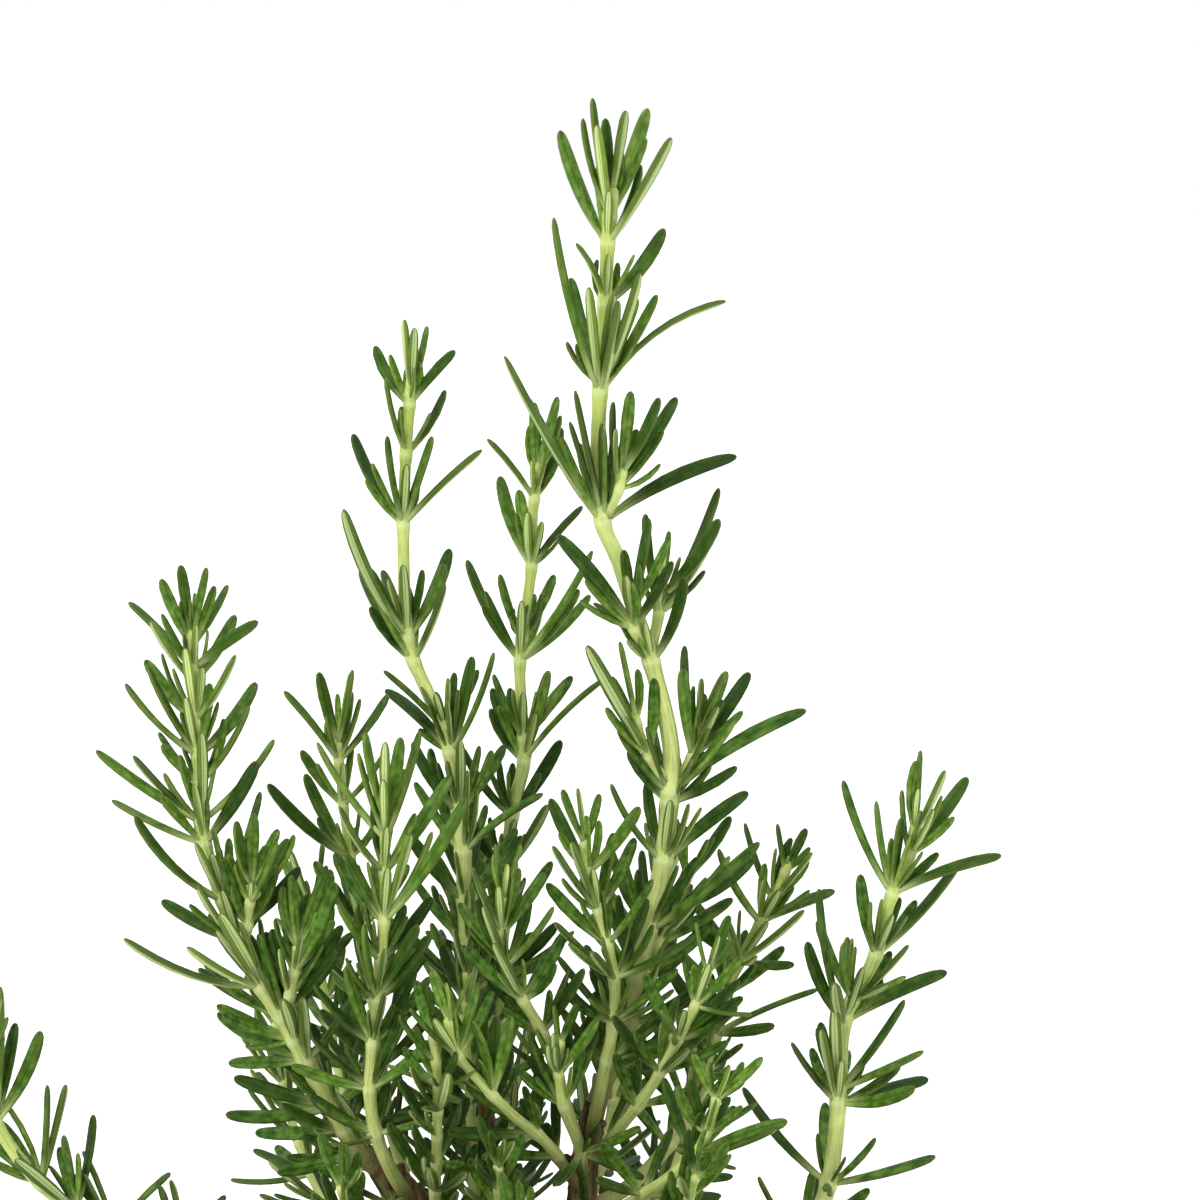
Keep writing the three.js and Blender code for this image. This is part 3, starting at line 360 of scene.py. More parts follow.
class Route:
    """The smooth line of a stem through its points, with its thickness at the foot and the top."""

    def __init__(self, points, girth):
        points = [Vector(point) for point in points]
        self.points = [2 * points[0] - points[1], *points, 2 * points[-1] - points[-2]]
        self.girth = girth
        places = [self.point(i / LENGTH_STEPS) for i in range(LENGTH_STEPS + 1)]
        self.length = sum((b - a).length for a, b in zip(places, places[1:]))

    def piece(self, share):
        spans = len(self.points) - 3
        first = min(int(share * spans), spans - 1)
        a, b, c, d = self.points[first:first + 4]
        return share * spans - first, b, c, (c - a) / 2, (d - b) / 2

    def point(self, share):
        t, b, c, leave, arrive = self.piece(share)
        square, cube = t * t, t * t * t
        return (
            b * (2 * cube - 3 * square + 1) + c * (3 * square - 2 * cube)
            + leave * (cube - 2 * square + t) + arrive * (cube - square)
        )

    def speed(self, share):
        """The direction of the line, as long as the way that one whole share would take."""
        t, b, c, leave, arrive = self.piece(share)
        square = t * t
        along = (
            (c - b) * (6 * t - 6 * square)
            + leave * (3 * square - 4 * t + 1) + arrive * (3 * square - 2 * t)
        )
        return along * (len(self.points) - 3)

    def radius(self, share):
        return self.girth[0] / 2 + (self.girth[1] - self.girth[0]) / 2 * share

    def axes(self, share):
        """Across the stem, back from the front and along it."""
        along = self.speed(share).normalized()
        across = BACK.cross(along).normalized()
        return across, along.cross(across), along

    def frame(self, share, radius):
        return frame_of(self.point(share), *self.axes(share), radius, radius)


def swept(bm, section, frames):
    """Draws a closed section along a row of frames, and closes both ends. Returns its rings."""
    ring = bmesh.ops.create_circle(bm, segments=len(section), radius=1)["verts"]
    for vertex, (x, y) in zip(ring, section):
        vertex.co = frames[0] @ Vector((x, y, 0))
    edges = list(dict.fromkeys(edge for vertex in ring for edge in vertex.link_edges))
    rings = [ring]
    bmesh.ops.contextual_create(bm, geom=edges)
    for before, after in zip(frames, frames[1:]):
        made = bmesh.ops.extrude_edge_only(bm, edges=edges)["geom"]
        ring = [item for item in made if isinstance(item, bmesh.types.BMVert)]
        edges = [item for item in made if isinstance(item, bmesh.types.BMEdge)]
        edges = [edge for edge in edges if all(vertex in ring for vertex in edge.verts)]
        bmesh.ops.transform(bm, matrix=after @ before.inverted(), verts=ring)
        rings.append(ring)
    bmesh.ops.contextual_create(bm, geom=edges)
    return rings


def round_section(sides):
    turns = [2 * math.pi * i / sides for i in range(sides)]
    return [(math.cos(turn), math.sin(turn)) for turn in turns]


def outward_at(axes, turn):
    """The direction square to a stem at a turn about it."""
    across, back, along = axes
    return across * math.cos(turn) + back * math.sin(turn)


def old_bark():
    bark = Paint("old_bark", 0.25)
    strips = bark.noise(bark.place((1, 1, 0.12)), 620, 4)
    broad = bark.noise(bark.place(), 160, 3)
    fine = bark.noise(bark.place(), 2600, 3)
    colour = bark.mix(bark.rise(strips, 0.36, 0.66), shade(60, 46, 30), shade(130, 110, 76))
    colour = bark.mix(bark.rise(broad, 0.45, 0.7) * 0.5, colour, shade(104, 90, 54))
    colour = bark.mix(bark.rise(fine, 0.6, 0.8) * 0.4, colour, shade(156, 142, 112))
    return bark.finish(colour, 0.82 + strips * 0.15, strips + fine * 0.25, 0.0011)


BARK = old_bark()
wood_routes = []
draw = seeded(17)
for name, girth, points in WOODS:
    route = Route(points, girth)
    wood_routes.append(route)
    steps = round(route.length / BARK_STEP)
    frames = []
    for share in (i / steps for i in range(steps + 1)):
        from_scar = route.length * share % SCAR_SPACING - SCAR_SPACING / 2
        scar = SCAR_HEIGHT * math.exp(-(from_scar / SCAR_WIDTH) ** 2)
        frames.append(route.frame(share, route.radius(share) + scar))
    bm = bmesh.new()
    for ring in swept(bm, round_section(BARK_SIDES), frames):
        middle = sum((vertex.co for vertex in ring), Vector()) / len(ring)
        for vertex in ring:
            x, y, z = vertex.co
            strip = noise.noise(Vector((x * STRIP_SCALE, y * STRIP_SCALE, z * STRIP_DRAWN_OUT)))
            out = STRIP_HEIGHT * strip + KNOB_HEIGHT * noise.noise(vertex.co * KNOB_SCALE)
            vertex.co += (vertex.co - middle).normalized() * out
    for i in range(STUB_COUNT):
        share = STUBS_FROM + (STUBS_TO - STUBS_FROM) * i / STUB_COUNT + draw(0, STUB_JITTER)
        axes = route.axes(share)
        way = (outward_at(axes, draw(0, 2 * math.pi)) + axes[2] * draw(*STUB_RISE)).normalized()
        foot, reach = route.point(share), route.radius(share) + draw(*STUB_LENGTH)
        side = way.cross(axes[2]).normalized()
        stub = [
            frame_of(foot + way * reach * far, side, way.cross(side), way, radius, radius)
            for far, radius in STUB_SHAPE
        ]
        swept(bm, round_section(STUB_SIDES), stub)
    bmesh.ops.recalc_face_normals(bm, faces=bm.faces)
    add_piece("bark_" + name, bm, [BARK], "wood_" + name)


# Leafy shoots grow from the old stems, and two long ones from the soil. Opposite leaves stand at
# each node, every pair turned against the one below, with tufts of young leaves between them.
VIEW_DISTANCE, VIEW_MIDDLE, VIEW_TILT = 750, Vector((14.4, 0, 256)), math.radians(6)

stems = []


def true_place(x, depth, z):
    """The true place of a point that is given as seen from the front, at its depth."""
    sin, cos = math.sin(VIEW_TILT), math.cos(VIEW_TILT)
    slope = (z - VIEW_MIDDLE.z) / VIEW_DISTANCE
    rise = (slope * (VIEW_DISTANCE + depth * cos) - depth * sin) / (cos + slope * sin)
    size = (VIEW_DISTANCE + depth * cos - rise * sin) / VIEW_DISTANCE
    return VIEW_MIDDLE.x + (x - VIEW_MIDDLE.x) * size, depth, VIEW_MIDDLE.z + rise


def grow(name, girth, route, rows=(), fill=None):
    """Adds a stem to a shoot: first its own, and then its side shoots.

    A stem with rows is given as it is seen from the front, and one with a fill in its true place.
    A row is a node's height, its left and right leaf as the tip's distance across and up, with the
    leaf's bow if it isn't the usual one, and the length of its tuft. A fill makes rows by rule: it
    is the share of the stem where they start, the gap between them and their leaves' length.
    """
    places = route if fill else [true_place(*point) for point in route]
    stems.append({
        "name": name, "rows": rows, "fill": fill, "leaves": [], "nodes": [],
        "seen": Route(route, girth), "route": Route(places, girth),
    })


grow("leader", (3.8, 2.3), [
    (12.3, 0, 158), (14.6, -0.5, 168), (19.2, -1, 178), (21.4, -1, 188), (23.2, -1, 198),
    (25.8, -1, 209), (27, -1, 221), (27, -1, 231), (23.6, -1.5, 245), (21, -2, 253), (17.8, -2, 263),
    (14.9, -2, 270), (14, -2, 281), (14.4, -2, 293), (15.3, -1, 309), (15.8, 0, 320), (16.6, 0, 331),
], [
    (172, (-8.5, 11), (13.5, 6), 8), (180, (-7.5, 13.5), (12, 7), 8),
    (188, (-9.5, 12), (13, 10, 0.8), 9), (197, (-6, 14, 1), (14, 12, 0.8), 12),
    (209, (-9, 14, 1), (15, 12, -0.6), 11), (219.4, (-7, 9), (11.5, 6.5), 9),
    (221.4, (-9, 12, 0.6), (24.5, 14.5, -1.6), 12), (245, (-10, 10.5, -1.5), (5.5, 15, 1), 9),
    (270, (-17, 29, 1), (24, 12, -1.6), 20), (271.2, (-13.5, 22, 1), (-4.6, 22, 0.3), 0),
    (293, (-8, 30, 1.6), (22.5, 17, -3), 17), (294.5, (-5.2, 19.5, 0.8), (6.8, 19.3, 0.8), 0),
    (309, (-5, 10.5, -1), (10.5, 14, 1), 10), (320, (-8.5, 21, 1), (11, 18), 10),
    (325, (-3, 20.5, 0.3), (6.8, 20, 0.3), 17), (329, (-1, 14, 0), (2.5, 15, 0), 0),
])
grow("leader", (2.1, 1.4), [(14.9, -2, 270), (17.6, -3.4, 275.5), (18.6, -4, 280)], [
    (276, (-1, 15.5), (10.4, 16.7), 12), (279, (1.5, 14.5, 0), (6.5, 13), 0),
])
grow("leader", (2.2, 1.4), [(23.4, -1.5, 246), (20.4, -5, 251), (20.2, -6, 255)], [
    (251, (-13.5, 16.5, -0.5), (7, 12), 12), (254, (-1.5, 11, 0), (3, 16.5, 0), 0),
])
grow("leader", (2.2, 1.4), [(23.4, -1.5, 246), (24.9, 1.4, 253), (25.2, 2, 257.5)], [
    (253.5, (-2.5, 18), (11, 23, 1), 12), (256.5, (1.7, 12, 0), (10.5, 14, 1), 0),
])
grow("leader", (2.1, 1.4), [(27, -1, 222), (22.6, -4, 229), (20.4, -5, 236)], [
    (228, (-11, 20, 1.5), (1, 14), 10), (234, (-8, 13, 1), (-3, 14.5, 0), 0),
])
grow("leader", (2.1, 1.4), [(27, -1, 221.5), (30, 0.8, 226), (31.8, 1.5, 230), (32.4, 2, 234)], [
    (228, (-1.5, 20), (10.5, 15), 10), (232, (0.5, 10, 0), (4.5, 11, 0), 0),
])
grow("leader", (2.2, 1.4), [(22, -1, 190), (25.4, 1, 195.5), (28.4, 3, 201), (30.4, 4, 207)], [
    (194, (-2, 9, 0.3), (14, 8, 0.3), 8), (200, (-3, 12, 0.4), (15, 13), 9),
    (206, (-2, 11, 0.3), (8, 11, 0.4), 8),
])
grow("left_of_leader", (3.3, 1.8), [
    (-7.8, 9.7, 170), (-9, 10, 188), (-9.9, 11, 202), (-10.3, 12, 211), (-11.7, 13, 224),
    (-13.7, 14, 233), (-16.9, 15, 240), (-20.2, 16, 249), (-21, 16, 266), (-20.7, 16, 279),
    (-19.8, 16, 292), (-19.4, 16, 299),
], [
    (186, (-10.5, 10.5), (11, 10), 8), (194, (-10, 12), (10, 12), 9), (202, (-10, 13), (9, 13), 9),
    (210.6, (-6, 19, 1.5), (14.5, 11, -1), 13), (218, (-8, 13, 1), (8, 12), 10),
    (228.5, (-12, 11.5, -1), (8, 18.5, 1), 11), (233, (-10.5, 10.5, -0.5), (6, 10.5), 9),
    (245, (-10, 17, 1), (6, 14), 0), (249, (-11, 23.5, 2), (7.5, 16.5, 1), 14),
    (269.5, (-9.5, 17, 1.2), (14.6, 13.5, -0.5), 10), (282, (-3.5, 13.5), (7, 12, 1), 8),
    (291, (-6.5, 11, 1), (8.5, 9.5, -0.5), 8), (293, (-1, 13.5, 0), (3, 12.5, 0.3), 0),
])
grow("behind_leader", (2.9, 1.7), [
    (-7, 9.4, 160), (-5, 15, 172), (-4, 19, 184), (-3.2, 22, 196), (-2.7, 23, 208), (-0.9, 24, 220),
    (0.7, 24, 228), (0, 25, 245), (2, 26, 261), (2.4, 26, 272), (3.4, 26, 281),
], [
    (180, (-10, 11), (10, 10), 8), (188, (-9, 12.5), (9, 11), 9), (197, (-8, 12), (9, 12), 9),
    (207, (-8, 12), (8, 13), 9), (217, (-9, 13, 1), (9, 14), 10), (227, (-6, 13.5), (15, 15.5, -1), 11),
    (231, (-7, 12), (9, 11.5, 0), 9), (245, (-10, 19, 1), (13.5, 20.5, 1), 12),
    (249, (-4, 12), (6, 12), 0), (262, (-6, 17, 1), (9.5, 11, -0.5), 9),
    (274, (-8.5, 11, -0.5), (5, 13.5), 8), (278, (-0.5, 14, 0), (2.8, 15, 0), 0),
])
grow("far_left", (3.9, 1.8), [
    (-25.5, -5, 153.6), (-30, -6.6, 158.5), (-33.3, -8, 164), (-37.4, -10, 171), (-42.3, -12, 180),
    (-48.6, -13, 190), (-53.8, -13, 203), (-57, -12, 213), (-57.8, -11, 224), (-58.5, -10, 238),
    (-59.2, -10, 251),
], [
    (157, (-14, -3), (11, 7.5), 8), (161, (-16, -1.5), (15, 3.8, -0.3), 0),
    (165, (-18, -0.5, 1), (10, 10), 9), (173, (-16, 8, 1), (9, 13), 11),
    (177, (-12, 5), (2.5, 18, 0.3), 0), (181, (-14, 9, 1), (10, 12), 10),
    (186.5, (-23, 9.5, 2), (8, 16), 13), (194.5, (-14, 7), (7, 14), 10),
    (202, (-14.5, 15.5, 2), (6, 19), 11), (212, (-17, 7.5), (10, 15), 9),
    (216, (-17.5, 13), (12.5, 14.5, 1), 12), (223, (-7.5, 9), (9.5, 14, 1), 9),
    (228, (-12, 13, 1), (10, 13, 1), 9), (234, (-9.5, 11), (7.5, 12), 9), (241, (-7, 11), (7, 12), 0),
    (243.5, (-12, 12, -0.5), (12, 8.5, -0.5), 9), (247.5, (-5, 12, 0.3), (6, 11, 0.3), 9),
    (249.5, (-2, 13, 0), (3, 12.5, 0), 0), (156, (-4.5, -14, 0.3), (12.5, -9.5, 0.4), 0),
])
grow("far_left", (2.1, 1.4), [(-50, -13, 193), (-49, -16, 198), (-48.2, -17, 205)], [
    (197.5, (-4, 12, 0.3), (9, 10), 9), (201.5, (-2.5, 14.5, 0.2), (8, 11.5), 8),
    (204.5, (0.5, 13, 0), (4.5, 10, 0), 0),
])
grow("far_left", (2.2, 1.4), [(-42.3, -12, 180), (-41, -15, 187), (-40, -16.5, 194)], [
    (185, (-3, 12, 0.3), (9, 12), 10), (189, (-1.5, 15, 0.4), (8, 16.5), 9),
    (193.5, (-1, 13, 0), (4.5, 12.5, 0.2), 0),
])
grow("small_left", (2.3, 1.5), [
    (-17.5, -1, 143), (-19.5, 6, 149), (-22.5, 10.5, 158), (-25, 12, 172), (-27, 13, 188),
    (-30, 13, 206), (-31.8, 13, 219), (-33, 13, 231),
], [
    (160, (-11, 7.5), (10, 8.5), 0), (172, (-11.5, 10), (10, 11), 8), (184, (-10, 10), (10, 11.5), 8),
    (197, (-9, 12), (9, 12), 8), (209.5, (-14.5, 14, 1), (8, 11), 9), (219, (-8, 10), (8, 10), 9),
    (227, (-9.5, 13, -0.5), (8, 12.5), 11), (230, (-3.5, 13.5, 0.3), (3, 14, 0.3), 0),
])
grow("mid_left", (2.7, 1.6), [
    (-19, -3, 147.3), (-22.5, -10, 152), (-25.8, -13.5, 159.5), (-27, -15, 168), (-25.9, -16, 183),
    (-24.5, -16, 198), (-24.4, -15, 208), (-24, -15, 217),
], [
    (160, (-10, 6), (11, 7.5), 0), (168, (-11, 10), (12, 9.5), 8), (176, (-10, 11), (10, 11.5), 8),
    (184, (-8, 14, 1), (10, 12), 10), (191, (-8.5, 11), (9, 11), 8),
    (198, (-9, 12, 1), (15, 22.5, 1), 12), (207, (-7.5, 12, 1), (11.5, 17), 10),
    (213, (-12.5, 17, 1), (6.5, 19.5), 13), (216, (-3.5, 16), (2.5, 15, 0.3), 0),
])
grow("mid_right", (2.9, 1.6), [
    (11, 0, 146), (19, 7, 150), (26, 12, 157), (31.9, 15, 167), (35.3, 16, 178), (37, 16, 185),
    (39.6, 16, 191), (45.9, 15, 203), (48.5, 15, 209),
], [
    (158, (-7.5, 10), (11, 5), 0), (164, (-10, 10), (10, 6), 8), (171, (-10, 10), (7, 5, 0), 8),
    (178, (-9, 12.5), (18.5, 9, -0.6), 9), (185, (-10.5, 10.5), (11, 8.5), 8),
    (191, (-12, 10), (11.5, 10), 9), (198, (-8, 14, 0.8), (14, 5.5, -0.5), 9),
    (202, (-5, 14), (7, 9, 0.3), 8), (207, (-1.5, 9, 0), (4, 8, 0), 0),
])
grow("far_right", (3.9, 1.8), [
    (36, 8, 84), (38, 7, 112), (44, 6, 128), (51, 4, 141), (55, 2, 149), (57, 0, 161), (58, 0, 178),
    (60.3, 0, 185), (64, 0, 192), (66.6, 0, 202), (70.4, 0, 211), (71.5, 0, 218),
], [
    (124, (-8.5, 8.5), (11, 7.5), 0), (132, (-10.5, 10.5, 1), (11, 8.5), 0),
    (141, (-8, 12, 0.8), (12, 8.5), 8), (151, (-13, 18, 1.2), (18.5, 6), 9),
    (165.5, (-8.5, 11.5), (16.5, 3.5, 0), 8), (168, (-3.5, 11, 0.3), (11, 17), 0),
    (180, (-5, 25, 1), (19, 8.5, -1), 10), (184, (-6, 14), (9.5, 10.5), 9),
    (192, (-3, 15), (16, 17, 1), 9), (203, (-8.5, 20.5, 1), (19, 7.5, -1), 9),
    (210, (-1.5, 12, 0.3), (11, 14), 9), (214, (1, 15, 0), (5, 11.5, 0.3), 0),
])
grow("low_left", (3.5, 1.7), [
    (-37, -12, 86), (-39, -12, 112), (-47, -13, 124), (-60, -13, 135), (-74, -12, 142.5),
    (-84, -12, 149), (-92, -12, 158), (-98, -12, 170), (-101, -12, 182), (-102, -12, 188),
], [
    (122, (-6, 12), (10, 8.5), 0), (130, (-7.5, 13.5), (5, 14), 0), (136, (-3, 15), (8, 12), 8),
    (142, (-6, 14), (10, 10), 9), (146, (-10, 10), (3, 17), 8), (151, (-11, 8.5), (1.5, 18, 0.3), 8),
    (162, (-11, 10), (1, 24.5), 9), (172, (-11, 10), (6, 13), 8), (180, (-7, 10, 0.3), (5, 12, 0.3), 8),
    (186, (-2, 11, 0), (2.5, 11.5, 0), 0),
])
grow("crossing_left", (2.2, 1.5), [
    (12, 0, 154), (9, -7, 163), (4.5, -13, 177), (0.5, -16, 184), (-2.5, -17, 190), (-3.2, -17.5, 197),
    (-2.8, -18, 203),
], [
    (170, (-10, 7.5, 0.3), (6, 11, 0.3), 0), (178, (-10, 10, 0.3), (7.5, 12, 0.3), 8),
    (184, (-10, 10), (7.5, 12), 8), (190, (-8.5, 11, 0.3), (8.5, 11), 8),
    (196, (-5, 12), (7.5, 10.5, 0.3), 8), (202, (-1.5, 10, 0), (3, 10, 0), 0),
])
grow("reaching_left", (2.2, 1.4), [
    (11.3, 0, 149), (5, -12, 158), (-1, -19, 163), (-6, -23, 168), (-11.5, -26, 174.5), (-13, -27, 181),
], [
    (160, (-16, 3), (5, 11), 0), (167, (-10, 6, 0.3), (3.5, 14.5, 0.3), 8), (174, (-9, 9), (6, 11), 9),
    (180, (-3, 9, 0.2), (4, 9, 0.2), 0), (156, (-12.6, 1.2, 0.4), (4, 10, 0.3), 0),
])
grow("front_tuft", (2.1, 1.4), [
    (11.7, 0, 152), (10.5, -9, 158), (8, -15, 164), (7, -18, 170), (7.2, -19, 177),
], [
    (165, (-6, 14), (9, 12, 0.3), 8), (171, (-4, 10, 0.3), (7, 10, 0.3), 7),
    (176, (-1, 7, 0), (2.5, 7.5, 0), 0), (156.5, (-0.8, -11, 0.3), (10, -6.5, 0.4), 0),
])
grow("front_of_leader", (2.4, 1.5), [
    (12.3, 0, 158), (14.5, -7.5, 168), (16.5, -9.5, 178), (17, -9.5, 187), (15.5, -9.5, 195),
    (13, -9, 204), (11.5, -8.5, 213),
], [
    (173, (-8.5, 10, 0.3), (8.5, 10, 0.3), 0), (180, (-10, 11.5, 0.3), (11.5, 10, 0.3), 9),
    (188, (-10.5, 10.5, 0.3), (6, 14), 8), (194, (-9, 12), (8, 12), 9), (200, (-8, 12), (8, 13), 9),
    (207, (-7, 13), (9, 12), 9), (212, (-4, 10, 0.2), (3, 9, 0.2), 0),
])
grow("low_right", (2.3, 1.4), [
    (10.7, 0.3, 142), (19, -11, 147), (26, -20, 151.5), (31, -23, 156), (34, -25, 161),
    (35.5, -26, 167),
], [
    (149, (-7.5, 10, 0.3), (14, -1), 0), (156, (-5, 13.5, 0.3), (16.5, 7, -0.3), 8),
    (160, (-3, 10, 0.3), (9, 5, 0.2), 7), (166, (-4, 8, 0.2), (8, 8, 0.2), 8),
])
grow("reaching_right", (2.3, 1.4), [
    (11.9, 0, 154), (18, -5.5, 161), (24, -11, 169), (29, -15, 178), (32, -16, 184), (34, -16, 190),
], [
    (165, (-3.5, 11, 0.3), (11, 2.5, 0.3), 0), (171, (-5, 13.5, 0.4), (12, 6, 0.3), 8),
    (177, (-6, 12, 0.4), (11, 10, 0.3), 8), (183, (-4, 9, 0.3), (8, 9, 0.3), 8),
    (189, (-2, 9, 0.2), (4, 10, 0.2), 0),
])
grow("front_left", (2.2, 1.4), [
    (-17.2, 1, 127), (-16, -9, 139), (-15, -17, 152), (-14.5, -21, 163), (-14.2, -24, 173),
    (-15, -26, 182),
], fill=(0.3, 6.5, 14))
grow("centre_front", (2.3, 1.4), [
    (-5, 8, 124), (-7, 0, 136), (-8.5, -5, 150), (-9, -7, 164), (-9.5, -8, 178), (-9.5, -8, 190),
], fill=(0.25, 6.5, 14))
grow("centre_low", (2.1, 1.4), [
    (9.6, 1.5, 122), (3, -9, 132), (-2, -18, 142), (-3.5, -23, 151), (-3.5, -27, 159),
], fill=(0.3, 6.5, 14))
grow("front_low_right", (2.2, 1.4), [
    (9.8, 1, 126), (17, -12, 134), (23, -26, 142), (28, -38, 151), (31, -46, 162),
], fill=(0.3, 6.5, 15))
grow("front_low_left", (2.2, 1.4), [
    (-17.7, 1.2, 120), (-23, -10, 129), (-27, -24, 138), (-29, -37, 148), (-30, -46, 160),
], fill=(0.3, 6.5, 15))
grow("front_low", (2.1, 1.4), [
    (9, 2, 116), (6, -12, 123), (3, -28, 131), (1, -42, 141), (1, -51, 153),
], fill=(0.3, 6.5, 15))
grow("back_left", (2.3, 1.4), [
    (-16.8, 0.4, 131), (-26, 13, 145), (-34, 24, 162), (-38, 33, 178), (-41, 39, 194),
], fill=(0.2, 7, 16))
grow("back_centre", (2.3, 1.4), [
    (-5, 8, 134), (-8, 24, 150), (-11, 36, 168), (-12, 43, 186), (-11, 46, 202),
], fill=(0.2, 7, 16))
grow("back_right", (2.3, 1.4), [
    (10.6, 0.4, 138), (15, 17, 151), (19, 30, 166), (23, 39, 181), (26, 44, 196),
], fill=(0.2, 7, 16))
grow("back_low_left", (2.2, 1.4), [
    (-17.8, 1.4, 119), (-28, 16, 128), (-39, 32, 139), (-46, 45, 153), (-49, 53, 168),
], fill=(0.3, 7, 16))
grow("back_low", (2.2, 1.4), [
    (-4.4, 8, 121), (-4, 25, 129), (-3, 43, 139), (-3, 57, 152), (-4, 65, 167),
], fill=(0.3, 7, 16))
grow("back_low_right", (2.2, 1.4), [
    (9.3, 1.8, 118), (17, 16, 127), (26, 34, 138), (32, 50, 150), (34, 60, 165),
], fill=(0.3, 7, 16))

LEAF_WIDTH, TUFT_WIDTH, FULL_WIDTH_FROM, SLIMMEST = 2.6, 2.2, 18, 0.4
ROOT_SUNK = 1.1
LAST_NODE, NODE_STEP = 0.985, 0.002
USUAL_BOW, LEAF_TILT, FULL_TILT_SPREAD = 0.5, 0.36, 6
LIGHT, LIGHT_TURN = Vector((0, -0.94, 0.34)), 0.85
TUFT_SPREAD, LONGEST_TUFT, TUFT_BOW = 24, 17, 0.3
TUFT_TURN, TUFT_SIZE = (18, 62), (0.9, 1.3)
FILL_TURNS, FILL_LEAN, FULL_AT_FOOT, SHORTENS_BY, CLOSES_BY = (45, 135), 42, 1.13, 0.35, 0.5
FILL_BOW, LENGTH_JITTER = (0.2, 0.8), (0.85, 1.1)
TURN_JITTER, SIDE_JITTER, LEAN_JITTER, FEWEST_ROWS = 14, 8, 6, 3
CELL, BALL_STEP, BALL_RADIUS = 4, 1.2, 1.25
TIP_BALL, TIP_SHARE, ROOT_SHARE = 0.94, 0.85, 0.35
CLEARANCE, OWN_CLEARANCE, POT_CLEARANCE = 0.4, -0.7, 3
YOUNG_AT_FOOT, YOUNG_AT_TIP, TUFT_YOUNGER, FILL_AGED = 0.05, 0.36, 0.2, 0.45
TURN_TRIES = (0, 14, -14, 28, -28, 44, -44)
LENGTH_TRIES = (1, 0.8, 0.62)

draw = seeded(7)
taken = {}


def take(balls, owner):
    """Marks room as taken, in cells so that near balls are found fast."""
    for point, radius, inner in balls:
        key = tuple(math.floor(value / CELL) for value in point)
        taken.setdefault(key, []).append((point, radius, inner, owner))


def meets_pot(point):
    reach = point.xy.length
    if POT_RIM - POT_WALL - POT_CLEARANCE < reach < POT_RIM + POT_CLEARANCE:
        if point.z < POT_TOP + POT_CLEARANCE:
            return True
    return reach < POT_RIM and point.z < SOIL_TOP + SOIL_RIPPLE + POT_CLEARANCE


def is_clear(balls, owner):
    for point, radius, inner in balls:
        if meets_pot(point):
            return False
        near = [range(math.floor(value / CELL) - 1, math.floor(value / CELL) + 2) for value in point]
        for key in itertools.product(*near):
            for other, other_radius, other_inner, other_owner in taken.get(key, ()):
                is_own = other_owner == owner
                if is_own and (inner or other_inner):
                    continue
                room = radius + other_radius + (OWN_CLEARANCE if is_own else CLEARANCE)
                if (point - other).length < room:
                    return False
    return True


def turned_about(vector, axis, degrees):
    return Quaternion(axis, math.radians(degrees)) @ vector


def level_part(vector, along):
    """The direction of the part of a vector that stands square to a stem."""
    return (vector - along * vector.dot(along)).normalized()


def leaning(along, outward, degrees):
    """The direction that leans outward from a stem."""
    lean = math.radians(degrees)
    return along * math.cos(lean) + outward * math.sin(lean)


class Leaf:
    """A leaf's line from its stem to its tip, bowed outwards."""

    def __init__(self, base, chord, stem_along, bow):
        outward = level_part(level_part(chord, stem_along), chord.normalized())
        self.base, self.middle, self.tip = base, base + chord / 2 + outward * 2 * bow, base + chord
        self.upper = level_part(stem_along, chord.normalized())
        self.length = chord.length

    def point(self, share):
        rest = 1 - share
        middle = self.middle * 2 * share * rest
        return self.base * rest * rest + middle + self.tip * share * share

    def blade_axes(self, share, roll):
        """Across the blade and up from it: it faces its stem, but turns some way to the light."""
        along = (self.middle - self.base) * (1 - share) + (self.tip - self.middle) * share
        along.normalize()
        top = level_part(self.upper, along) + LIGHT * LIGHT_TURN
        top = turned_about(level_part(top, along), along, roll)
        return along.cross(top), top

    def balls(self, room):
        count = math.ceil(self.length / BALL_STEP)
        for share in (i / count for i in range(1, count + 1)):
            radius = TIP_BALL if share > TIP_SHARE else BALL_RADIUS
            yield self.point(share), radius * room, share < ROOT_SHARE


def place_leaf(stem, node, chord, bow, full_width, young, room=1):
    """Adds a leaf that is clear of all others, turned or shortened if need be, or none."""
    along = node["axes"][2]
    for size, turn in itertools.product(LENGTH_TRIES, TURN_TRIES):
        turned = turned_about(chord * size, along, turn)
        sunk_foot = level_part(turned, along) * max(0, node["radius"] - ROOT_SUNK)
        leaf = Leaf(node["point"] + sunk_foot, turned, along, bow * size)
        balls = list(leaf.balls(room))
        if is_clear(balls, stem["name"]):
            take(balls, stem["name"])
            slimness = SLIMMEST + (1 - SLIMMEST) * min(1, leaf.length / FULL_WIDTH_FROM)
            leaf.width, leaf.young = full_width * slimness, young
            stem["leaves"].append(leaf)
            return


def youth(node):
    """How young a node's leaves are: 0 is old and dark, and 1 is fresh and yellow green."""
    return YOUNG_AT_FOOT + (YOUNG_AT_TIP - YOUNG_AT_FOOT) * node["aged"] * node["share"] ** 3


def add_node(stem, share, big, tuft):
    """Adds a node with its big leaves, and notes how long the tuft between them is."""
    route = stem["route"]
    node = {
        "share": share, "point": route.point(share), "radius": route.radius(share),
        "axes": route.axes(share), "aged": FILL_AGED if stem["fill"] else 1, "tuft": tuft,
    }
    node["big"] = list(big)
    stem["nodes"].append(node)
    for chord, bow in node["big"]:
        place_leaf(stem, node, chord, bow, LEAF_WIDTH, youth(node))


def share_at_height(route, height):
    share = 0
    while share < LAST_NODE and route.point(share).z < height:
        share += NODE_STEP
    return share


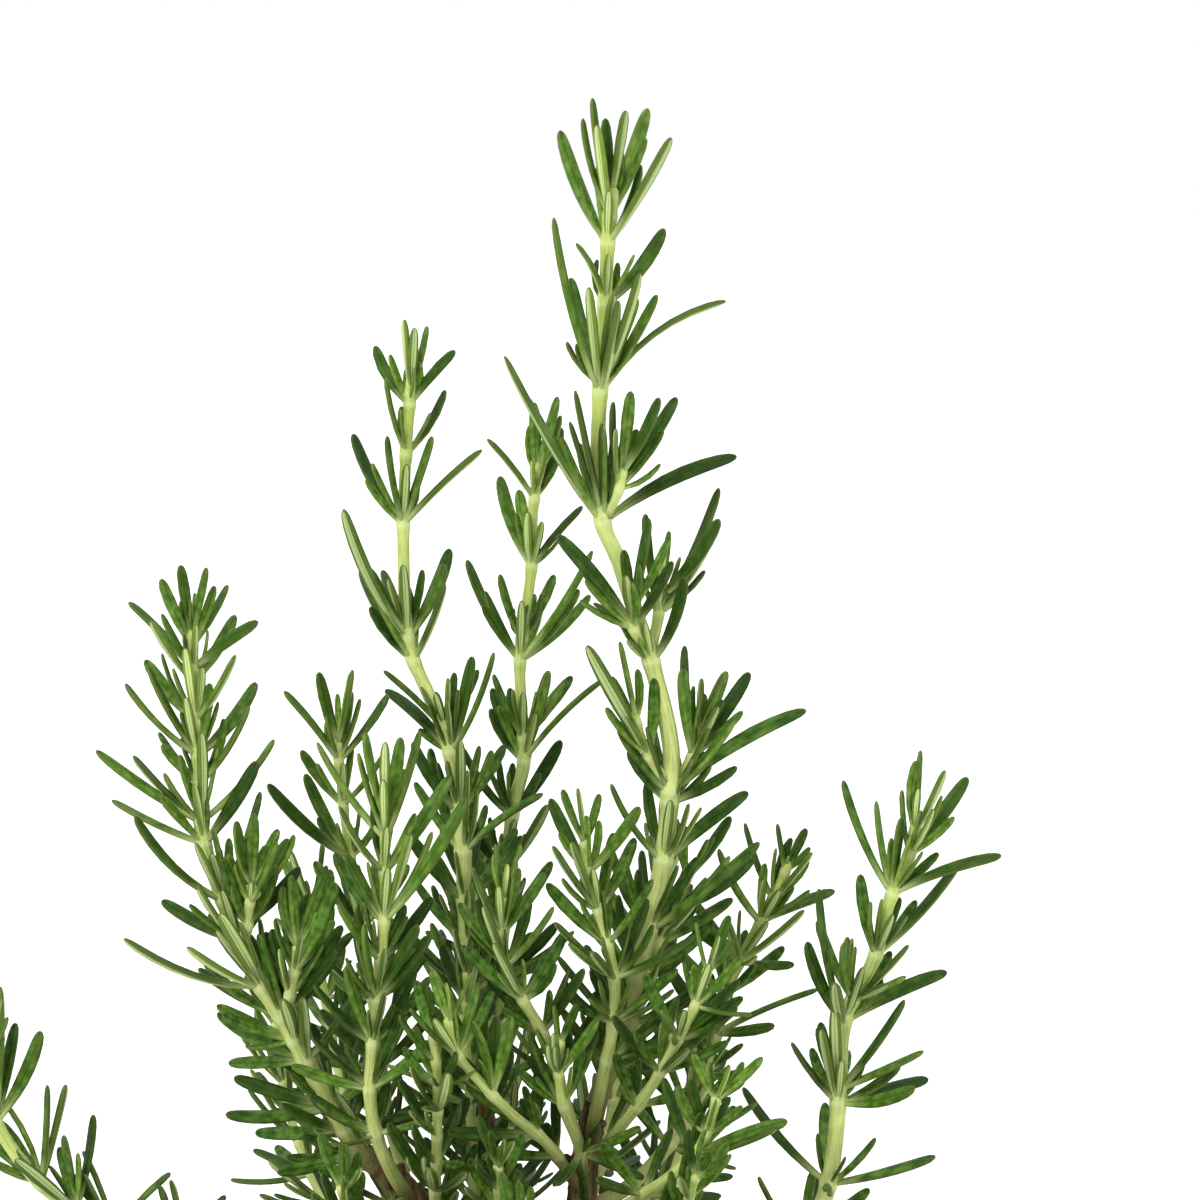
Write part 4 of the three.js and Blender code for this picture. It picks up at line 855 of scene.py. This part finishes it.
def row_leaves(left, right, index):
    """The two big leaves of a node that the plan gives by their tips."""
    turn = 1 if index % 2 == 0 else -1
    for side, (sideways, rise, *bow) in ((-1, left), (1, right)):
        tilt = LEAF_TILT * min(1, abs(sideways) / FULL_TILT_SPREAD)
        depth = side * turn * tilt * math.hypot(sideways, rise)
        chord = Vector((sideways, depth, rise - depth * math.tan(VIEW_TILT)))
        yield chord, bow[0] if bow else USUAL_BOW


def rule_leaves(length, axes, index, share):
    """Two leaves across from each other, each pair turned against the pair below."""
    turn = FILL_TURNS[index % 2] + draw(-TURN_JITTER, TURN_JITTER)
    length = length * (FULL_AT_FOOT - SHORTENS_BY * share) * draw(*LENGTH_JITTER)
    for side in (0, 180):
        outward = outward_at(axes, math.radians(turn + side + draw(-SIDE_JITTER, SIDE_JITTER)))
        lean = FILL_LEAN * (FULL_AT_FOOT - CLOSES_BY * share) + draw(-LEAN_JITTER, LEAN_JITTER)
        yield leaning(axes[2], outward, lean) * length, draw(*FILL_BOW)


def tuft_leaf(along, big, length, side):
    """A tuft leaf stands closer to the stem than its node's big leaf, turned to one side."""
    outward = turned_about(level_part(big, along), along, side * draw(*TUFT_TURN))
    way = leaning(along, outward, TUFT_SPREAD + draw(-LEAN_JITTER, LEAN_JITTER))
    return way * length * draw(*TUFT_SIZE)


def stem_balls(route):
    count = math.ceil(route.length / BALL_STEP)
    return [(route.point(i / count), route.radius(i / count), True) for i in range(count + 1)]


for route in wood_routes:
    take(stem_balls(route), "wood")
for stem in stems:
    take(stem_balls(stem["route"]), stem["name"])
for stem in stems:
    for index, (height, left, right, tuft) in enumerate(stem["rows"]):
        share = share_at_height(stem["seen"], height)
        add_node(stem, share, row_leaves(left, right, index), tuft)
    if stem["fill"]:
        start, gap, length = stem["fill"]
        count = max(FEWEST_ROWS, round(stem["route"].length * (1 - start) / gap))
        for index in range(count + 1):
            share = start + (LAST_NODE - start) * index / count
            add_node(stem, share, rule_leaves(length, stem["route"].axes(share), index, share), 0)
for stem in stems:
    for node in [node for node in stem["nodes"] if node["tuft"] > 0]:
        for side, (chord, bow) in zip((1, -1), node["big"]):
            small = tuft_leaf(node["axes"][2], chord, min(node["tuft"], LONGEST_TUFT), side)
            place_leaf(stem, node, small, TUFT_BOW, TUFT_WIDTH, youth(node) + TUFT_YOUNGER)


# More leaves crowd the axils of every node. Low on the plant they spread wide, at a shoot's tip
# they are few and close, and in front of a stem they stand up along it with their pale side out.
INNER_COUNT, TIP_INNER_COUNT = 2, 1
LOW, TIP_FROM, FRONT_FROM = 190, 0.84, 0.62
INNER_TURN, INNER_LEAN, LOW_LEAN, FRONT_LEAN, TIP_LEAN = 84, (14, 46), (20, 72), (12, 24), (5, 24)
INNER_SIZE, LOW_INNER_SIZE, INNER_LONGEST, INNER_SHORTEST = (0.4, 0.95), (0.6, 1.1), 18, 5
INNER_WIDTH, TIP_INNER_WIDTH, INNER_BOW, INNER_ROOM = (2.2, 2.8), (1.8, 2.3), (0, 1.1), 0.66
INNER_YOUNGER, YOUNGER_AT_FOOT = 0.45, 0.4
draw = seeded(23)
for stem, node in [(stem, node) for stem in stems for node in stem["nodes"]]:
    along, share = node["axes"][2], node["share"]
    is_low, is_tip = node["point"].z < LOW, share > TIP_FROM
    count = TIP_INNER_COUNT if is_tip else INNER_COUNT
    for chord in [chord for chord, bow in node["big"] for i in range(count)]:
        outward = turned_about(level_part(chord, along), along, draw(-INNER_TURN, INNER_TURN))
        leans = FRONT_LEAN if -outward.y > FRONT_FROM else INNER_LEAN
        leans = TIP_LEAN if is_tip else LOW_LEAN if is_low else leans
        way = leaning(along, outward, draw(*leans))
        length = chord.length * draw(*(LOW_INNER_SIZE if is_low else INNER_SIZE))
        length = min(INNER_LONGEST, max(INNER_SHORTEST, length))
        younger = draw(0, INNER_YOUNGER) * (YOUNGER_AT_FOOT + (1 - YOUNGER_AT_FOOT) * share)
        young = youth(node) + younger * node["aged"]
        width, bow = draw(*(TIP_INNER_WIDTH if is_tip else INNER_WIDTH)), draw(*INNER_BOW)
        place_leaf(stem, node, way * length, bow, width, young, INNER_ROOM)


# A leaf is a narrow strap with a blunt tip. It is dark and grooved above, with its margins rolled
# under to a felted pale band. All are copies of two templates, bent to their lines.
LEAF_SECTION = [
    (0, 0.3), (0.5, 0.44), (0.92, 0.22), (0.9, -0.3), (0.48, -0.5),
    (0, -0.2), (-0.48, -0.5), (-0.9, -0.3), (-0.92, 0.22), (-0.5, 0.44),
]
SHORT_STATIONS = [
    (0, 0.48, 0.8), (0.14, 0.56, 0.9), (0.4, 0.88, 1), (0.68, 1, 1),
    (0.89, 0.82, 0.95), (0.972, 0.52, 0.7), (1, 0.18, 0.3),
]
LONG_STATIONS = [
    (0, 0.46, 0.8), (0.08, 0.5, 0.9), (0.2, 0.64, 1), (0.34, 0.82, 1), (0.48, 0.95, 1),
    (0.62, 1, 1), (0.76, 0.96, 1), (0.88, 0.84, 0.95), (0.952, 0.65, 0.8), (0.987, 0.4, 0.5),
    (1, 0.14, 0.25),
]
LONG_LEAF = 16
YOUNG_STEPS, TONE_STEPS, YOUNG_JITTER, YOUNGEST = 6, 4, 0.08, 0.999
TILE_MARGIN, TILES_FOOT = 0.06, 0.22
ROLL, TWIST, FULLNESS, PLUMPNESS = 42, 22, 1.1, 1.2


def leaf_template(stations):
    """One leaf: X is in half widths, Y is the share of its length and Z is in millimetres."""
    bm = bmesh.new()
    across, along, up = Vector((1, 0, 0)), Vector((0, 1, 0)), Vector((0, 0, 1))
    frames = [frame_of(along * y, across, up, along, wide, high) for y, wide, high in stations]
    swept(bm, LEAF_SECTION, frames)
    bmesh.ops.recalc_face_normals(bm, faces=bm.faces)
    around = bm.loops.layers.uv.new("leaf")
    bm.loops.layers.uv.new("OFBake")
    size = {round(y, 4): (wide, high) for y, wide, high in stations}
    count = len(LEAF_SECTION)
    for face in bm.faces:
        face.material_index = 1
        is_left = face.calc_center_median().x < 0
        for loop in face.loops:
            place = loop.vert.co
            wide, high = size[round(place.y, 4)]
            flat = Vector((place.x / wide, place.z / high))
            nearest = min(range(count), key=lambda i: (Vector(LEAF_SECTION[i]) - flat).length)
            turn = nearest / count + (0.5 if nearest <= count / 2 else -0.5)
            loop[around].uv = (0 if nearest == count / 2 and is_left else turn, place.y)
    return mesh_of("leaf_template", bm, 1)


def add_leaf(bm, layers, leaf):
    """Copies a template into the shoot's mesh and bends it to the leaf's line."""
    had = len(bm.verts), len(bm.faces)
    bm.from_mesh(LONG_TEMPLATE if leaf.length > LONG_LEAF else SHORT_TEMPLATE)
    bm.verts.ensure_lookup_table()
    bm.faces.ensure_lookup_table()
    roll, twist = draw(-ROLL, ROLL), draw(-TWIST, TWIST)
    young = min(YOUNGEST, max(0, leaf.young + draw(-YOUNG_JITTER, YOUNG_JITTER)))
    young_step, tone_step = int(young * YOUNG_STEPS), int(draw(0, TONE_STEPS))
    half_width = leaf.width * FULLNESS / 2
    plump = PLUMPNESS * leaf.width / LEAF_WIDTH
    frames = {}
    for vertex in bm.verts[had[0]:]:
        x, share, z = vertex.co
        if share not in frames:
            frames[share] = leaf.point(share), *leaf.blade_axes(share, roll + twist * share)
        point, across, top = frames[share]
        vertex.co = point + across * x * half_width + top * z * plump
        vertex[layers["young"]] = young_step / (YOUNG_STEPS - 1)
        vertex[layers["tone"]] = tone_step / (TONE_STEPS - 1)
    column, row = young_step * 2 + tone_step // 2, tone_step % 2
    for face in bm.faces[had[1]:]:
        for loop in face.loops:
            u, v = loop[layers["leaf"]].uv
            u, v = (TILE_MARGIN + value * (1 - 2 * TILE_MARGIN) for value in (u, v))
            tile = (column + u) / (2 * YOUNG_STEPS), TILES_FOOT + (row + v) / 2 * (1 - TILES_FOOT)
            loop[layers["OFBake"]].uv = tile


def leaf_skin():
    leaf = Paint("rosemary_leaf", 0.14)
    place = leaf.node("ShaderNodeUVMap", {"uv_map": "leaf"}, {})
    around, along = leaf.measure(place, "X"), leaf.measure(place, "Y")
    young, tone = leaf.attribute("young"), leaf.attribute("tone")
    beneath = abs(around - 0.5) * 2
    stretched = leaf.node("ShaderNodeMapping", {}, {"Vector": place, "Scale": (7, 18, 1)})
    settings = {"noise_dimensions": "4D"}
    changing = {"Vector": stretched, "W": tone * 9 + young * 31, "Scale": 0.45, "Detail": 3.0}
    patches = leaf.node("ShaderNodeTexNoise", settings, changing, "Fac")
    felt = leaf.noise(stretched, 9, 3)
    above = leaf.mix(young, shade(50, 85, 16), shade(106, 145, 44))
    bright = leaf.mix(young, shade(108, 145, 60), shade(164, 196, 94))
    above = leaf.mix(leaf.rise(patches, 0.35, 0.68) * 0.8, above, bright)
    above = leaf.mix(tone * 0.78, above, leaf.mix(young, shade(28, 50, 5), shade(62, 96, 18)))
    old_tip = leaf.mix(young, shade(36, 60, 24), shade(74, 102, 40))
    above = leaf.mix(leaf.rise(along, 0.45, 1) * 0.45, above, old_tip)
    # The groove along the middle of the upper side is painted a little darker, as painted shade in the
    # crease. The same mask also presses the groove in through the bump.
    groove_and_painted_shade = 1 - leaf.rise(beneath, 0.01, 0.09)
    above = leaf.mix(groove_and_painted_shade * 0.15, above, shade(28, 54, 16))
    # The leaf's outer edge is painted paler and greyer, as a painted highlight along the rolled margin.
    edge = leaf.rise(beneath, 0.36, 0.5)
    colour = leaf.mix(edge * 0.55, above, leaf.mix(young, shade(84, 94, 48), shade(140, 158, 70)))
    margin = leaf.rise(beneath, 0.56, 0.7)
    colour = leaf.mix(margin * 0.7, colour, leaf.mix(young, shade(76, 104, 40), shade(130, 160, 66)))
    band = leaf.rise(beneath, 0.77, 0.83)
    pale = leaf.mix(young, shade(176, 196, 130), shade(218, 235, 152))
    pale = leaf.mix(leaf.rise(felt, 0.5, 0.75) * 0.3, pale, shade(206, 218, 168))
    midrib = leaf.rise(beneath, 0.96, 0.99)
    pale = leaf.mix(midrib * 0.3, pale, shade(104, 132, 70))
    colour = leaf.mix(band * 0.85, colour, pale)
    foot = 1 - leaf.rise(along, 0.02, 0.36)
    colour = leaf.mix(foot * (0.55 + young * 0.3), colour, shade(202, 218, 142))
    tip = leaf.rise(along, 0.972, 0.996)
    colour = leaf.mix(tip * 0.6, colour, shade(98, 84, 50))
    height = band * -0.5 + midrib * 0.4 - groove_and_painted_shade * 0.6 + felt * 0.12
    return leaf.finish(colour, 0.46 + band * 0.4 + margin * 0.08, height, 0.00025)


# A shoot's stem is soft and four-angled, yellow green and finely felted. Each node is a little
# swollen with a pale ring, and the foot turns to brown wood.
STEM_SIDES, STEM_STEP, STEM_CORNERS, STEM_END = 12, 3.2, 0.06, 0.35
NODE_OFFSETS, RING_GAP = (-2.4, -1.1, -0.45, 0, 0.45, 1.1), 0.2
SWELLING, SWELLING_LENGTH, BAND_LENGTH = 0.24, 1.5, 0.55
STEM_TILE_MARGIN, STRIP_MARGIN, PATTERN_LENGTH = 0.01, 0.08, 10
STEM_SECTION = []
for x, y in round_section(STEM_SIDES):
    bulge = 1 + STEM_CORNERS * (4 * x * x * y * y)
    STEM_SECTION.append((x * bulge, y * bulge))


def ring_shares(stem):
    """Where a stem's rings stand: evenly along it and closer at its nodes, but never too close."""
    route = stem["route"]
    steps = math.ceil(route.length / STEM_STEP)
    shares = {i / steps for i in range(1, steps)}
    for middle in [node["share"] for node in stem["nodes"]]:
        shares |= {middle + offset / route.speed(middle).length for offset in NODE_OFFSETS}
    kept = [0]
    for share in sorted(shares):
        if RING_GAP < (share - kept[-1]) * route.length and (1 - share) * route.length > RING_GAP:
            kept.append(share)
    return [*kept, 1]


def turn_at(route, share, place):
    """How far round a stem a place is, from 0 to 1."""
    across, back, along = route.axes(share)
    off = place - route.point(share)
    return math.atan2(off.dot(back), off.dot(across)) / (2 * math.pi) % 1


def add_stem(bm, layers, stem, low, high):
    """Draws a stem with its swollen nodes, and notes its age and its pale rings."""
    route = stem["route"]
    frames, notes = [], []
    for share in ring_shares(stem):
        speed = route.speed(share).length
        away = min(abs(share - node["share"]) * speed for node in stem["nodes"])
        radius = route.radius(share) + SWELLING * math.exp(-(away / SWELLING_LENGTH) ** 2)
        frames.append(route.frame(share, radius * (STEM_END if share == 1 else 1)))
        notes.append((share, math.exp(-(away / BAND_LENGTH) ** 2)))
    had = len(bm.faces)
    share_of = {}
    for ring, (share, band) in zip(swept(bm, STEM_SECTION, frames), notes):
        for vertex in ring:
            vertex[layers["age"]] = 1 - share
            vertex[layers["band"]] = band
            share_of[vertex] = share
    bm.faces.ensure_lookup_table()
    for face in bm.faces[had:]:
        face.material_index = 0
        middle = face.calc_center_median()
        for loop in face.loops:
            share = share_of[loop.vert]
            turn = turn_at(route, share, loop.vert.co)
            turn += round(turn_at(route, share, middle) - turn)
            loop[layers["leaf"]].uv = (turn, share * route.length / PATTERN_LENGTH)
            u = STEM_TILE_MARGIN + (1 - 2 * STEM_TILE_MARGIN) * share
            loop[layers["OFBake"]].uv = (u, low + (high - low) * turn)


def stem_skin():
    stem = Paint("young_stem", 0.14)
    place = stem.node("ShaderNodeUVMap", {"uv_map": "leaf"}, {})
    turn = stem.measure(place, "X") * (2 * math.pi)
    rise = stem.measure(place, "Y")
    round_place = {0: stem.math("COSINE", turn), 1: stem.math("SINE", turn), 2: rise * 0.6}
    round_place = stem.node("ShaderNodeCombineXYZ", {}, round_place)
    stripes = stem.noise(round_place, 3.2, 3)
    felt = stem.noise(stem.place(), 2600, 2)
    broad = stem.noise(stem.place(), 120, 2)
    age, band = stem.attribute("age"), stem.attribute("band")
    colour = stem.mix(stem.rise(age, 0.05, 0.6), shade(178, 196, 100), shade(184, 196, 118))
    colour = stem.mix(stem.rise(stripes, 0.4, 0.7) * 0.5, colour, shade(122, 144, 58))
    colour = stem.mix(stem.rise(broad, 0.48, 0.72) * 0.5, colour, shade(216, 227, 146))
    woody = stem.rise(age + (broad - 0.5) * 0.25, 0.8, 0.98)
    colour = stem.mix(woody * 0.85, colour, shade(96, 82, 50))
    colour = stem.mix(band * (1 - woody) * 0.6, colour, shade(206, 216, 156))
    colour = stem.mix(stem.rise(felt, 0.5, 0.8) * 0.32, colour, shade(206, 214, 168))
    return stem.finish(colour, 0.62 + woody * 0.25, stripes * 0.8 + felt * 0.3, 0.0003)


STEM_SKIN, LEAF_SKIN = stem_skin(), leaf_skin()
SHORT_TEMPLATE, LONG_TEMPLATE = leaf_template(SHORT_STATIONS), leaf_template(LONG_STATIONS)
draw = seeded(41)
for name, shoot in itertools.groupby(stems, key=lambda stem: stem["name"]):
    bm = bmesh.new()
    layers = {layer: bm.verts.layers.float.new(layer) for layer in ("young", "tone", "age", "band")}
    layers |= {layer: bm.loops.layers.uv.new(layer) for layer in ("leaf", "OFBake")}
    shoot = list(shoot)
    strip = TILES_FOOT / len(shoot)
    for i, stem in enumerate(shoot):
        add_stem(bm, layers, stem, strip * (i + STRIP_MARGIN), strip * (i + 1 - STRIP_MARGIN))
    bmesh.ops.recalc_face_normals(bm, faces=bm.faces)
    for leaf in [leaf for stem in shoot for leaf in stem["leaves"]]:
        add_leaf(bm, layers, leaf)
    add_piece("leafy_" + name, bm, [STEM_SKIN, LEAF_SKIN], "shoot_" + name)
bpy.data.meshes.remove(SHORT_TEMPLATE)
bpy.data.meshes.remove(LONG_TEMPLATE)


# The plant stands on a plain pale floor under soft light. The camera looks at it from the front
# and slightly from above, as the photograph does, with the pot below the picture.
FLOOR_SIZE = 40
CAMERA_LENS, SENSOR, NEAREST, FURTHEST = 125, 36, 0.05, 100
WORLD_LIGHT = 1
LIGHTS = [("key", (0.5, 0.75, -1), 1.8, 30), ("top", (-0.2, -0.3, -1), 0.7, 60)]


def pale_floor():
    floor = Paint("pale_floor", 0.1)
    grain = floor.noise(floor.place(), 3, 2)
    colour = floor.mix(grain, shade(243, 243, 242), shade(247, 247, 246))
    return floor.finish(colour, 0.9 + grain * 0.05, grain, 0.0001)


bm = bmesh.new()
bmesh.ops.create_grid(bm, x_segments=1, y_segments=1, size=FLOOR_SIZE / 2)
floor = put_in_scene("floor", mesh_of("floor", bm, 1))
floor.data.materials.append(pale_floor())
floor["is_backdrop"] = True

world = bpy.data.worlds.new("studio")
world.use_nodes = True
world.node_tree.nodes["Background"].inputs["Color"].default_value = (1, 1, 1, 1)
world.node_tree.nodes["Background"].inputs["Strength"].default_value = WORLD_LIGHT
bpy.context.scene.world = world
bpy.context.scene.view_settings.view_transform = "Standard"
for name, towards, power, softness in LIGHTS:
    light = bpy.data.lights.new(name, "SUN")
    light.energy, light.angle = power, math.radians(softness)
    lamp = put_in_scene(name, light)
    lamp.rotation_euler = Vector(towards).to_track_quat("-Z", "Y").to_euler()

camera = bpy.data.cameras.new("camera")
camera.lens, camera.sensor_width = CAMERA_LENS, SENSOR
camera.clip_start, camera.clip_end = NEAREST, FURTHEST
viewer = put_in_scene("camera", camera)
back = Vector((0, -math.cos(VIEW_TILT), math.sin(VIEW_TILT)))
viewer.location = VIEW_MIDDLE * MM + back * VIEW_DISTANCE * MM
viewer.rotation_euler = (-back).to_track_quat("-Z", "Y").to_euler()
bpy.context.scene.camera = viewer

boxes = {"cad": cad_box, "visual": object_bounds()}
{name: [list(corner) for corner in box] for name, box in boxes.items()}
